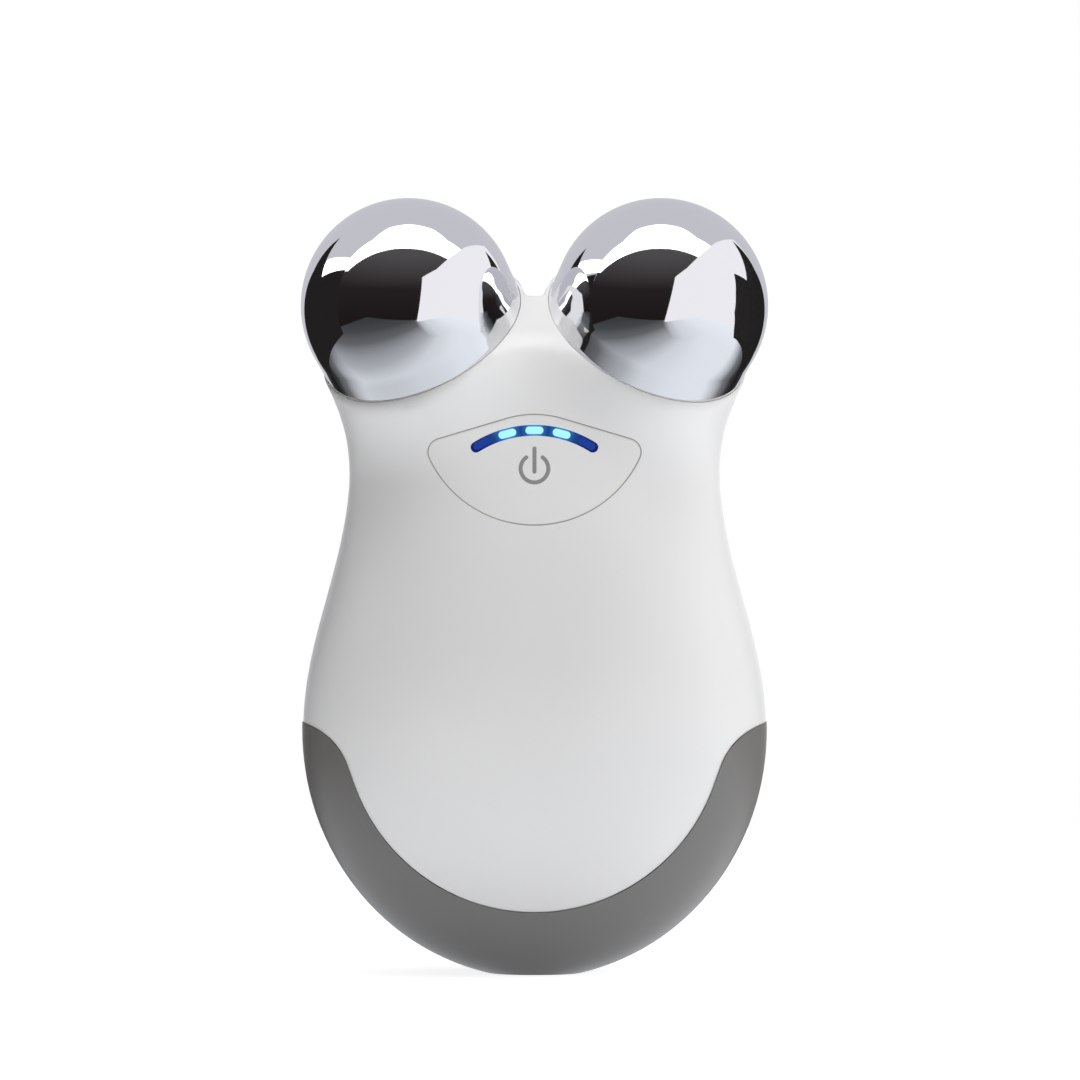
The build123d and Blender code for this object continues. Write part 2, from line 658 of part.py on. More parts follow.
with BuildPart() as base_grip:
    add(form(-GRIP_PROUD))
    add(below_edge(0), mode=Mode.INTERSECT)
    add(grip_inside.part, mode=Mode.SUBTRACT)
    with BuildSketch(Plane.XY):
        SlotOverall(FOOT_PAD_LONG, FOOT_PAD_WIDTH, rotation=90)
    extrude(amount=FOOT_PAD_THICK, mode=Mode.SUBTRACT)
    for y in (-BASE_SCREW_Y, BASE_SCREW_Y):
        add(pillar(y, 0, BASE_SCREW_SEAT, SCREW_HEAD + 0.15), mode=Mode.SUBTRACT)
        add(pillar(y, 0, GRIP_FLOOR + 1, SCREW_RADIUS + 2 * SCREW_SLACK), mode=Mode.SUBTRACT)
base_grip.part.label = "base_grip"
export_step(base_grip.part, "parts/base_grip.step")

with BuildPart() as foot_pad:
    with BuildSketch(Plane.XY):
        SlotOverall(FOOT_PAD_LONG, FOOT_PAD_WIDTH, rotation=90)
    extrude(amount=FOOT_PAD_THICK)
foot_pad.part.label = "foot_pad"
export_step(foot_pad.part, "parts/foot_pad.step")

# ---------------------------------------------------------------- balls
skirt_draft = tan(radians(SKIRT_DRAFT))
ball_radius = BALL_DIAMETER / 2
hollow_radius = ball_radius - BALL_WALL
step_outside = RIM_DROP + LIP_DEPTH - STEP_GAP
step_inside = RIM_DROP - SKIRT_STEP
neck_radius = SKIRT_POCKET - BALL_FIT
neck_hollow = neck_radius - BALL_WALL
skirt = [
    (ball_radius, 0),
    (ball_radius - skirt_draft * step_outside, -step_outside),
    (neck_radius, -step_outside),
    (neck_radius, -SKIRT_END),
    (neck_hollow, -SKIRT_END),
    (neck_hollow, -step_inside),
    (hollow_radius - skirt_draft * step_inside, -step_inside),
    (hollow_radius, 0),
]
plug_profile = [
    (0, -SKIRT_END + PLUG_RISE),
    (neck_hollow - PLUG_FIT, -SKIRT_END + PLUG_RISE),
    (neck_hollow - PLUG_FIT, -SKIRT_END),
    (SEAT_RADIUS - BALL_FIT, -SKIRT_END),
    (SEAT_RADIUS - BALL_FIT, -POCKET_DEPTH),
    (STUD_RADIUS, -POCKET_DEPTH),
    (STUD_RADIUS, -FLOOR_UNDER - STUD_REACH),
    (0, -FLOOR_UNDER - STUD_REACH),
]
gasket_profile = [
    (SEAT_RADIUS, -LEDGE_DEPTH),
    (neck_radius, -LEDGE_DEPTH),
    (neck_radius, -SKIRT_END),
    (SEAT_RADIUS, -SKIRT_END),
]

with BuildPart() as ball_right:
    cup = cup_plane(1)
    with BuildSketch(Plane(origin=cup.origin, x_dir=cup.x_dir, z_dir=cup.y_dir * -1)):
        with BuildLine():
            Line((0, ball_radius), (0, hollow_radius))
            CenterArc((0, 0), ball_radius, 0, 90)
            CenterArc((0, 0), hollow_radius, 0, 90)
            Polyline(*skirt)
        make_face()
    revolve(axis=Axis(cup.origin, cup.z_dir))
ball_right.part.label = "ball_right"
export_step(ball_right.part, "parts/ball_right.step")

with BuildPart() as ball_left:
    mirror(ball_right.part, about=Plane.YZ)
ball_left.part.label = "ball_left"
export_step(ball_left.part, "parts/ball_left.step")

with BuildPart() as ball_plug_left:
    add(turned(-1, *plug_profile))
ball_plug_left.part.label = "ball_plug_left"
export_step(ball_plug_left.part, "parts/ball_plug_left.step")

with BuildPart() as ball_plug_right:
    add(turned(1, *plug_profile))
ball_plug_right.part.label = "ball_plug_right"
export_step(ball_plug_right.part, "parts/ball_plug_right.step")

with BuildPart() as ball_gasket_left:
    add(turned(-1, *gasket_profile))
ball_gasket_left.part.label = "ball_gasket_left"
export_step(ball_gasket_left.part, "parts/ball_gasket_left.step")

with BuildPart() as ball_gasket_right:
    add(turned(1, *gasket_profile))
ball_gasket_right.part.label = "ball_gasket_right"
export_step(ball_gasket_right.part, "parts/ball_gasket_right.step")

with BuildPart() as ring_terminals:
    for side in SIDES:
        with BuildSketch(cup_plane(side, -FLOOR_UNDER)):
            Circle(TERMINAL_RADIUS)
            Rectangle(TERMINAL_TAB, 2, align=(Align.MIN, Align.CENTER))
            Circle(STUD_HOLE, mode=Mode.SUBTRACT)
        extrude(amount=-TERMINAL_THICK)
ring_terminals.part.label = "ring_terminals"
export_step(ring_terminals.part, "parts/ring_terminals.step")

with BuildPart() as stud_nuts:
    for side in SIDES:
        with BuildSketch(cup_plane(side, -FLOOR_UNDER - TERMINAL_THICK)):
            RegularPolygon(NUT_ACROSS / 2, 6, major_radius=False)
            Circle(STUD_RADIUS + SCREW_SLACK, mode=Mode.SUBTRACT)
        extrude(amount=-NUT_THICK)
stud_nuts.part.label = "stud_nuts"
export_step(stud_nuts.part, "parts/stud_nuts.step")

# ---------------------------------------------------------------- key
key_front = middle_y(SYMBOL_HEIGHT) - half_depth(SYMBOL_HEIGHT, 0)
dome_ball = (DOME_RADIUS**2 + DOME_RISE**2) / (2 * DOME_RISE)
plunger_tip = BOARD_FRONT - SWITCH_TALL - PLUNGER_REACH
key_back = form(KEY_THICK)

with BuildPart() as key_dome:
    with Locations((0, key_front - DOME_RISE + dome_ball, SYMBOL_HEIGHT)):
        Sphere(dome_ball)
    add(post(0, SYMBOL_HEIGHT, key_front + 1, -REACH, DOME_RADIUS), mode=Mode.INTERSECT)

with BuildPart() as key_flange:
    add(form(SHELL_WALL + KEY_REST_GAP))
    add(lens(KEY_FLANGE, RETAINER_FRONT, -REACH), mode=Mode.INTERSECT)
    add(key_back, mode=Mode.SUBTRACT)

with BuildPart() as symbol_tool:
    with BuildSketch(upright(key_front + SYMBOL_DEPTH)):
        with BuildLine(mode=Mode.PRIVATE) as ring:
            start = 90 + SYMBOL_OPENING
            CenterArc((0, SYMBOL_HEIGHT), SYMBOL_RADIUS, start, 360 - 2 * SYMBOL_OPENING)
        SlotArc(ring.edge(), SYMBOL_STROKE)
        with Locations((0, SYMBOL_BAR_HEIGHT)):
            SlotOverall(SYMBOL_BAR, SYMBOL_STROKE, rotation=90)
    extrude(amount=REACH)

with BuildPart() as light_tool:
    with BuildSketch(upright(RETAINER_FRONT)):
        with BuildLine(mode=Mode.PRIVATE) as band:
            start = 90 - LIGHT_HALF_ANGLE
            CenterArc((0, LIGHT_ARC_HEIGHT), LIGHT_ARC_RADIUS, start, 2 * LIGHT_HALF_ANGLE)
        SlotArc(band.edge(), LIGHT_BAND)
    extrude(amount=REACH)

with BuildPart() as key_blank:
    add(skin)
    add(lens(-KEY_GAP, RETAINER_FRONT, -REACH), mode=Mode.INTERSECT)
    add(key_back, mode=Mode.SUBTRACT)
    add(key_flange.part)
    add(key_dome.part)
    add(post(0, SWITCH_HEIGHT, plunger_tip - PLUNGER_GAP, key_front + 1, PLUNGER_RADIUS))

with BuildPart() as key_plate:
    add(key_blank.part)
    add(light_tool.part, mode=Mode.SUBTRACT)
    add(symbol_tool.part, mode=Mode.SUBTRACT)
key_plate.part.label = "key_plate"
export_step(key_plate.part, "parts/key_plate.step")

with BuildPart() as power_symbol:
    add(key_blank.part)
    add(symbol_tool.part, mode=Mode.INTERSECT)
power_symbol.part.label = "power_symbol"
export_step(power_symbol.part, "parts/power_symbol.step")

with BuildPart() as light_bar:
    add(skin)
    add(light_tool.part, mode=Mode.INTERSECT)
    add(form(LIGHT_THICK), mode=Mode.SUBTRACT)
light_bar.part.label = "light_bar"
export_step(light_bar.part, "parts/light_bar.step")

with BuildPart() as key_retainer:
    retainer_back = RETAINER_FRONT + RETAINER_THICK
    add(lens(RETAINER_REACH, retainer_back, RETAINER_FRONT))
    for x in (-RETAINER_EAR_X, RETAINER_EAR_X):
        add(post(x, RETAINER_EAR_HEIGHT, retainer_back, RETAINER_FRONT, 3 * RETAINER_PIN))
    add(lens(KEY_GAP, retainer_back, RETAINER_FRONT), mode=Mode.SUBTRACT)
    add(form(SHELL_WALL + KEY_REST_GAP), mode=Mode.INTERSECT)
    for x in (-RETAINER_EAR_X, RETAINER_EAR_X):
        hole = post(x, RETAINER_EAR_HEIGHT, retainer_back, RETAINER_FRONT, RETAINER_PIN + SCREW_SLACK)
        add(hole, mode=Mode.SUBTRACT)
key_retainer.part.label = "key_retainer"
export_step(key_retainer.part, "parts/key_retainer.step")

# ---------------------------------------------------------------- circuit board and what it carries
board_middle = (BOARD_LOW + BOARD_HIGH) / 2
board_screw_spots = [
    (x, height)
    for x in (-BOARD_SCREW_X, BOARD_SCREW_X)
    for height in (BOARD_SCREW_LOW, BOARD_SCREW_HIGH)
]
led_angles = [90 + LED_PITCH * (place - (LED_COUNT - 1) / 2) for place in range(LED_COUNT)]
led_spots = [
    (LIGHT_ARC_RADIUS * cos(radians(a)), LIGHT_ARC_HEIGHT + LIGHT_ARC_RADIUS * sin(radians(a)))
    for a in led_angles
]

with BuildPart() as circuit_board:
    with BuildSketch(upright(BOARD_BACK)):
        with Locations((0, board_middle)):
            RectangleRounded(BOARD_WIDTH, BOARD_HIGH - BOARD_LOW, 2)
        with Locations(*board_screw_spots):
            Circle(SCREW_RADIUS + 3 * SCREW_SLACK, mode=Mode.SUBTRACT)
    extrude(amount=BOARD_THICK)
circuit_board.part.label = "circuit_board"
export_step(circuit_board.part, "parts/circuit_board.step")

with BuildPart() as board_screws:
    for x, height in board_screw_spots:
        seat = Plane(origin=(x, BOARD_BACK, height), x_dir=(1, 0, 0), z_dir=(0, 1, 0))
        add(screw(seat, BOARD_SCREW_LONG + BOARD_THICK - 1))
board_screws.part.label = "board_screws"
export_step(board_screws.part, "parts/board_screws.step")

with BuildPart() as tact_switch:
    with BuildSketch(upright(BOARD_FRONT)):
        with Locations((0, SWITCH_HEIGHT)):
            RectangleRounded(SWITCH_SIZE, SWITCH_SIZE, 0.5)
    extrude(amount=SWITCH_TALL)
    well = plunger_tip + PLUNGER_LONG + 2 * KEY_TRAVEL
    add(post(0, SWITCH_HEIGHT, well, -REACH, PLUNGER_RADIUS + PLUNGER_FIT), mode=Mode.SUBTRACT)
tact_switch.part.label = "tact_switch"
export_step(tact_switch.part, "parts/tact_switch.step")

with BuildPart() as switch_plunger:
    add(post(0, SWITCH_HEIGHT, plunger_tip + PLUNGER_LONG, plunger_tip, PLUNGER_RADIUS))
switch_plunger.part.label = "switch_plunger"
export_step(switch_plunger.part, "parts/switch_plunger.step")

with BuildPart() as leds:
    with BuildSketch(upright(BOARD_FRONT)):
        for spot, angle in zip(led_spots, led_angles):
            with Locations(Location((*spot, 0), angle - 90)):
                Rectangle(LED_LONG, LED_WIDE)
    extrude(amount=LED_TALL)
leds.part.label = "leds"
export_step(leds.part, "parts/leds.step")

with BuildPart() as light_shield:
    with BuildSketch(upright(BOARD_FRONT)):
        with BuildLine(mode=Mode.PRIVATE) as band:
            start = 90 - LIGHT_HALF_ANGLE
            CenterArc((0, LIGHT_ARC_HEIGHT), LIGHT_ARC_RADIUS, start, 2 * LIGHT_HALF_ANGLE)
        SlotArc(band.edge(), SHIELD_BAND)
        for spot, angle in zip(led_spots, led_angles):
            with Locations(Location((*spot, 0), angle - 90)):
                Rectangle(SHIELD_CELL, SHIELD_BAND - 2 * SHIELD_WALL, mode=Mode.SUBTRACT)
    extrude(amount=SHIELD_TALL)
light_shield.part.label = "light_shield"
export_step(light_shield.part, "parts/light_shield.step")

with BuildPart() as microcontroller:
    with BuildSketch(upright(BOARD_BACK)):
        with Locations(CHIP_SPOT):
            Rectangle(CHIP_SIZE, CHIP_SIZE)
    extrude(amount=-CHIP_TALL)
    chamfer(microcontroller.edges().group_by(Axis.Y)[-1], CHIP_TALL / 6)
microcontroller.part.label = "microcontroller"
export_step(microcontroller.part, "parts/microcontroller.step")

with BuildPart() as pulse_transformer:
    with BuildSketch(upright(BOARD_BACK)):
        with Locations(COIL_SPOT):
            Rectangle(COIL_WIDE, COIL_LONG)
    extrude(amount=-COIL_FLANGE)
    with BuildSketch(upright(BOARD_BACK + COIL_FLANGE)):
        with Locations(COIL_SPOT):
            RectangleRounded(0.6 * COIL_WIDE, 0.85 * COIL_LONG, 1.5)
    extrude(amount=-COIL_GAP)
    with BuildSketch(upright(BOARD_BACK + COIL_FLANGE + COIL_GAP)):
        with Locations(COIL_SPOT):
            Rectangle(COIL_WIDE, COIL_LONG)
    extrude(amount=-0.8 * COIL_FLANGE)
pulse_transformer.part.label = "pulse_transformer"
export_step(pulse_transformer.part, "parts/pulse_transformer.step")

with BuildPart() as capacitors:
    with BuildSketch(upright(BOARD_BACK)):
        with Locations(*CAN_SPOTS):
            Circle(CAN_RADIUS)
    extrude(amount=-CAN_TALL)
    fillet(capacitors.edges().group_by(Axis.Y)[-1], CAN_RADIUS / 5)
capacitors.part.label = "capacitors"
export_step(capacitors.part, "parts/capacitors.step")

with BuildPart() as beeper:
    with BuildSketch(upright(BOARD_BACK)):
        with Locations(BEEPER_SPOT):
            Circle(BEEPER_RADIUS)
    extrude(amount=-BEEPER_TALL)
    with BuildSketch(upright(BOARD_BACK + BEEPER_TALL)):
        with Locations(BEEPER_SPOT):
            Circle(BEEPER_HOLE)
    extrude(amount=BEEPER_TALL / 2, mode=Mode.SUBTRACT)
beeper.part.label = "beeper"
export_step(beeper.part, "parts/beeper.step")

with BuildPart() as battery_connector:
    with BuildSketch(upright(BOARD_BACK)):
        with Locations(SOCKET_SPOT):
            Rectangle(SOCKET_WIDE, SOCKET_LONG)
    extrude(amount=-SOCKET_TALL)
battery_connector.part.label = "battery_connector"
export_step(battery_connector.part, "parts/battery_connector.step")

# ---------------------------------------------------------------- battery
with BuildPart() as battery:
    with BuildSketch(Plane.XY.offset(BATTERY_LOW)):
        with Locations((0, BATTERY_FRONT + BATTERY_THICK / 2)):
            RectangleRounded(BATTERY_WIDTH, BATTERY_THICK, 2)
    extrude(amount=BATTERY_TALL)
battery.part.label = "battery"
export_step(battery.part, "parts/battery.step")

with BuildPart() as battery_pad:
    with BuildSketch(upright(pad_back)):
        with Locations((0, BATTERY_LOW + BATTERY_TALL / 2)):
            RectangleRounded(BATTERY_WIDTH - 6, BATTERY_TALL - 4, 2)
    extrude(amount=PAD_THICK)
battery_pad.part.label = "battery_pad"
export_step(battery_pad.part, "parts/battery_pad.step")

# ---------------------------------------------------------------- charging inlet
with BuildPart() as charge_jack:
    with BuildSketch(jack_plane.offset(-JACK_FLANGE_THICK)):
        Circle(JACK_FLANGE)
    extrude(amount=JACK_FLANGE_THICK)
    with BuildSketch(jack_plane):
        Circle(JACK_BODY)
    extrude(amount=-JACK_LONG)
    with BuildSketch(jack_plane):
        Circle(JACK_BORE)
    extrude(amount=1 - JACK_LONG, mode=Mode.SUBTRACT)
charge_jack.part.label = "charge_jack"
export_step(charge_jack.part, "parts/charge_jack.step")

with BuildPart() as jack_pin:
    with BuildSketch(jack_plane.offset(1 - JACK_LONG)):
        Circle(JACK_BORE / 3)
    extrude(amount=JACK_LONG - 2.5)
jack_pin.part.label = "jack_pin"
export_step(jack_pin.part, "parts/jack_pin.step")

with BuildPart() as jack_nut:
    with BuildSketch(jack_plane.offset(-JACK_PAD)):
        RegularPolygon(JACK_BODY + 1.2, 6, major_radius=False)
        Circle(JACK_BODY + 0.05, mode=Mode.SUBTRACT)
    extrude(amount=-1.8)
jack_nut.part.label = "jack_nut"
export_step(jack_nut.part, "parts/jack_nut.step")

# ---------------------------------------------------------------- screws
with BuildPart() as housing_screws:
    for x in (-HOUSING_SCREW_X, HOUSING_SCREW_X):
        seat = Plane(origin=(x, HOUSING_SCREW_SEAT, HOUSING_SCREW_HEIGHT), x_dir=(1, 0, 0), z_dir=(0, 1, 0))
        add(screw(seat, HOUSING_SCREW_SEAT + LUG_LONG - 2))
housing_screws.part.label = "housing_screws"
export_step(housing_screws.part, "parts/housing_screws.step")

with BuildPart() as base_screws:
    for y in (-BASE_SCREW_Y, BASE_SCREW_Y):
        seat = Plane(origin=(0, y, BASE_SCREW_SEAT), x_dir=(1, 0, 0), z_dir=(0, 0, -1))
        add(screw(seat, BASE_BOSS_TOP - BASE_SCREW_SEAT - 2, thick=BASE_SCREW_SEAT - FOOT_PAD_THICK))
base_screws.part.label = "base_screws"
export_step(base_screws.part, "parts/base_screws.step")

# ---------------------------------------------------------------- leads
with BuildPart() as ball_leads:
    for side in SIDES:
        under = cup_plane(side, -FLOOR_UNDER - TERMINAL_THICK - LEAD_RADIUS)
        tab = under.origin + under.x_dir * (TERMINAL_TAB - 1)
        down = tab + Vector(side * 1.0, 1.2, -3.5)
        turn = Vector(down.X, BOARD_BACK + 2.5, LEAD_PAD_HEIGHT)
        pad = Vector(down.X, BOARD_BACK, LEAD_PAD_HEIGHT)
        add(lead([1.2, 0.8], tab, down, turn, pad))
ball_leads.part.label = "ball_leads"
export_step(ball_leads.part, "parts/ball_leads.step")

with BuildPart() as battery_leads:
    socket_x, socket_height = SOCKET_SPOT
    for x in (socket_x - SOCKET_WIDE / 4, socket_x + SOCKET_WIDE / 4):
        top = BATTERY_LOW + BATTERY_TALL
        arch = top + LEAD_ARCH
        back, front = BATTERY_FRONT + 2, BATTERY_FRONT - LEAD_ARCH
        socket = (x, BOARD_BACK + SOCKET_TALL, socket_height)
        add(lead(1.0, (x, back, top), (x, back, arch), (x, front, arch), (x, front, socket_height), socket))
battery_leads.part.label = "battery_leads"
export_step(battery_leads.part, "parts/battery_leads.step")

with BuildPart() as jack_leads:
    for x in (-1.2, 1.2):
        inner = jack_plane.origin + Vector(x) - jack_plane.z_dir * JACK_LONG
        bend = inner - jack_plane.z_dir * 4
        low = Vector(x, 1.4, 19.8)
        rise = Vector(x, 1.2, 30)
        turn = Vector(x, 0.2, LEAD_PAD_LOW)
        add(lead([1.5, 1.5, 4, 1], inner, bend, low, rise, turn, (x, BOARD_BACK, LEAD_PAD_LOW)))
jack_leads.part.label = "jack_leads"
export_step(jack_leads.part, "parts/jack_leads.step")
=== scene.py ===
"""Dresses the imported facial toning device: white housing, mirror balls, key, grip and studio."""

import math

import bmesh
import bpy
import numpy as np
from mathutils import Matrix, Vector


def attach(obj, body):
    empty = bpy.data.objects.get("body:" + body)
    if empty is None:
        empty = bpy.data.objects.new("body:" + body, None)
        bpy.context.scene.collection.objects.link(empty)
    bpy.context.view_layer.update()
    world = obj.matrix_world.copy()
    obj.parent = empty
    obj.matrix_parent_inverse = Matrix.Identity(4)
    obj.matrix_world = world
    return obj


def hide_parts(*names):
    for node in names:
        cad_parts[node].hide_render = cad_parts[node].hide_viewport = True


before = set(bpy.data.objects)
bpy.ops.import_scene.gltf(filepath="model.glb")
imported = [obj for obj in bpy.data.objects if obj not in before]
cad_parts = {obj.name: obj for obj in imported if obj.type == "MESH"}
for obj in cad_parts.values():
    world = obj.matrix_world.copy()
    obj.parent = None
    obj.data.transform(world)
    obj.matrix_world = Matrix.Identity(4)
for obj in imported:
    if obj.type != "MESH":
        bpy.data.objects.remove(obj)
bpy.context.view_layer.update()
MM = 0.001
SIDES = (-1, 1)

# ---- Shared tools -----------------------------------------------------------------------------
# Short helpers for objects, materials and node trees. Sizes of the real pieces are in mm and
# points handed to Blender in metres, with the origin on the floor under the device's middle.


def new_object(name, data):
    """An object that holds the data, linked into the scene."""
    made = bpy.data.objects.new(name, data)
    bpy.context.scene.collection.objects.link(made)
    return made


def finish_with(piece, material):
    piece.data.materials.clear()
    piece.data.materials.append(material)


def points_of(mesh):
    return np.array([vertex.co for vertex in mesh.vertices]) / MM


def feed(tree, node, inputs):
    """Gives sockets of a node, by name or number, a plain value or a link from another socket."""
    for socket, value in inputs.items():
        if isinstance(value, bpy.types.NodeSocket):
            tree.links.new(value, node.inputs[socket])
        else:
            node.inputs[socket].default_value = value


def add_node(tree, kind, inputs=None, operation=None, mode=None):
    node = tree.nodes.new(kind)
    if operation:
        node.operation = operation
    if mode:
        node.mode = mode
    feed(tree, node, inputs or {})
    return node


def colour_ramp(tree, value, low, high, stops):
    """Colours that follow a value from low to high through (position, colour) stops."""
    span = add_node(tree, "ShaderNodeMapRange", {"Value": value, "From Min": low, "From Max": high})
    ramp = add_node(tree, "ShaderNodeValToRGB", {"Fac": span.outputs[0]})
    elements = ramp.color_ramp.elements
    for element, (position, colour) in zip(list(elements), (stops[0], stops[-1])):
        element.position, element.color = position, (*colour, 1)
    for position, colour in stops[1:-1]:
        elements.new(position).color = (*colour, 1)
    return ramp


def place_split(tree):
    """The X, Y and Z sockets of a point's own coordinates, and the socket they come from."""
    place = add_node(tree, "ShaderNodeTexCoord").outputs["Object"]
    return add_node(tree, "ShaderNodeSeparateXYZ", {0: place}).outputs, place


def new_material(name):
    """A material with nodes, its tree and its shader."""
    material = bpy.data.materials.new(name)
    material.use_nodes = True
    return material, material.node_tree, material.node_tree.nodes["Principled BSDF"]


def unevenness_group():
    """Node group: faint mould flow and specks that every moulded or turned finish shares."""
    group = bpy.data.node_groups.new("surface unevenness", "ShaderNodeTree")
    sockets = {
        "INPUT": {"Scale": 400.0, "Tone": 0.02, "Roughness": 0.3, "Spread": 0.05, "Color": None},
        "OUTPUT": {"Color": None, "Roughness": 0.5, "Height": 0.0},
    }
    for way, names in sockets.items():
        for name, value in names.items():
            kind = "NodeSocketColor" if value is None else "NodeSocketFloat"
            socket = group.interface.new_socket(name=name, in_out=way, socket_type=kind)
            if value is not None:
                socket.default_value = value
    given = add_node(group, "NodeGroupInput").outputs
    place = add_node(group, "ShaderNodeTexCoord").outputs["Object"]
    broad_look = {"Vector": place, "Scale": 45.0, "Detail": 2.0}
    fine_look = {"Vector": place, "Scale": given["Scale"], "Detail": 3.0}
    broad = add_node(group, "ShaderNodeTexNoise", broad_look).outputs["Fac"]
    fine = add_node(group, "ShaderNodeTexNoise", fine_look).outputs["Fac"]
    waves = add_node(group, "ShaderNodeMath", {0: broad, 1: 0.5}, "SUBTRACT").outputs[0]
    specks = add_node(group, "ShaderNodeMath", {0: fine, 1: 0.5}, "SUBTRACT").outputs[0]
    toning = {0: waves, 1: given["Tone"], 2: 1.0}
    tone = add_node(group, "ShaderNodeMath", toning, "MULTIPLY_ADD").outputs[0]
    painting = {0: given["Color"], "Scale": tone}
    paint = add_node(group, "ShaderNodeVectorMath", painting, "SCALE").outputs[0]
    glossing = {0: specks, 1: given["Spread"], 2: given["Roughness"]}
    gloss = add_node(group, "ShaderNodeMath", glossing, "MULTIPLY_ADD").outputs[0]
    add_node(group, "NodeGroupOutput", {"Color": paint, "Roughness": gloss, "Height": fine})
    return group


unevenness = unevenness_group()
RELIEF = 0.05 * MM  # depth of the finest surface relief


def moulded_material(name, colour, roughness, scale=400.0, tone=0.02, spread=0.04, bump=0.0, **own):
    """A Principled material on the shared unevenness; own values go on the shader's sockets."""
    material, tree, shader = new_material(name)
    surface = tree.nodes.new("ShaderNodeGroup")
    surface.node_tree = unevenness
    look = {"Scale": scale, "Tone": tone, "Roughness": roughness, "Spread": spread}
    feed(tree, surface, {**look, "Color": (*colour, 1)})
    made = surface.outputs
    feed(tree, shader, {"Base Color": made["Color"], "Roughness": made["Roughness"]})
    if bump:
        shape = {"Strength": bump, "Distance": RELIEF, "Height": made["Height"]}
        relief = add_node(tree, "ShaderNodeBump", shape)
        feed(tree, shader, {"Normal": relief.outputs["Normal"]})
    feed(tree, shader, {socket.replace("_", " "): value for socket, value in own.items()})
    return material


# ---- Housing ----------------------------------------------------------------------------------
# Two injection-moulded halves of glossy white ABS, waisted for the hand, with a cup under each
# ball, screwed together under the grip. The mould is polished, so the skin is smooth all over.
BELLY = (65.0, 44.0, 34.0)  # width, depth and height of the widest section
FOOT = (12.6, 17.0)  # width and depth of the flat foot
WAIST = (52.0, 26.0, 70.9)  # width, depth and height of the narrowest section
NECK_RISE, NECK_LEAN = 24.5, 2.5  # the neck's height above the waist, and how far it leans forward
NECK_TOP, DOME_LEAST = 0.99, 1e-4  # hold the outline's curves clear of their poles
SECTION_POWER = 2.35  # superellipse power of the sections: 2 would be an ellipse
CUP_BLEND, WEB_BLEND = 6.0, 12.0  # soft blends from cups to trunk and from cup to cup
BALL_CENTRE = (17.6, -7.0, 93.3)  # of the right ball; the left one mirrors it
BALL_RADIUS = 15.0
CUP_TILT, CUP_SPLAY = math.radians(32.0), math.radians(27.0)  # of a cup's axis, forward and outward
CUP_RADIUS = 15.168
CUP_END, RIM_DROP = 7.2, 5.2  # a cup's end and its rim, below the ball's centre along its axis
VALLEY_Y = (-30, -7, -3, 2, 6, 11, 20)  # the saddle between the cups, from front to back
VALLEY_RADIUS = (3.6, 3.6, 4.2, 7.0, 11.0, 17.0, 28.0)
VALLEY_LOW = (94.6, 94.6, 94.6, 94.2, 93.2, 91.5, 88.0)
EDGE_SOFTNESS, RIM_SOFTNESS = 2.0, 7.0  # rounding of the shading at the saddle and where rims meet
NEAR_SKIN = 2.4  # within this distance of the ideal form a vertex counts as on the outside
NORMAL_STEP = 0.05  # step over which the form's direction is measured
TINY = 1e-9
CREASE = math.radians(32)  # edges that turn more than this stay sharp
MERGE, SLIVER = 2e-7, 1e-8  # metres under which vertices are merged and slivers dissolved
FACING = 0.6  # cosine to the ideal direction above which a face belongs to the outer skin


def cup_axis(side):
    level = math.cos(CUP_TILT)
    across, up = math.sin(CUP_SPLAY) * level, math.cos(CUP_SPLAY) * level
    return np.array([side * across, -math.sin(CUP_TILT), up])


def ball_centre(side):
    return np.array([side * BALL_CENTRE[0], BALL_CENTRE[1], BALL_CENTRE[2]])


def trunk_half(breadth, foot, waist, height):
    """Half the trunk's breadth at a height: dome below the belly, waisted flank, domed neck."""
    low = BELLY[2] / math.sqrt(1 - (foot / breadth) ** 2)
    dome = breadth / 2 * np.sqrt(np.clip(1 - ((BELLY[2] - height) / low) ** 2, DOME_LEAST, 1))
    turn = np.pi * (height - BELLY[2]) / (WAIST[2] - BELLY[2])
    flank = waist / 2 + (breadth - waist) / 4 * (1 + np.cos(turn))
    rise = np.clip((height - WAIST[2]) / NECK_RISE, 0, NECK_TOP)
    neck = waist / 2 * np.sqrt(1 - rise**2)
    return np.where(height < BELLY[2], dome, np.where(height < WAIST[2], flank, neck))


def soft_union(first, second, blend):
    near = np.clip(blend - np.abs(first - second), 0, None) / blend
    return np.minimum(first, second) - near**2 * blend / 4


def soft_cut(first, second, blend=EDGE_SOFTNESS):
    return -soft_union(-first, -second, blend)


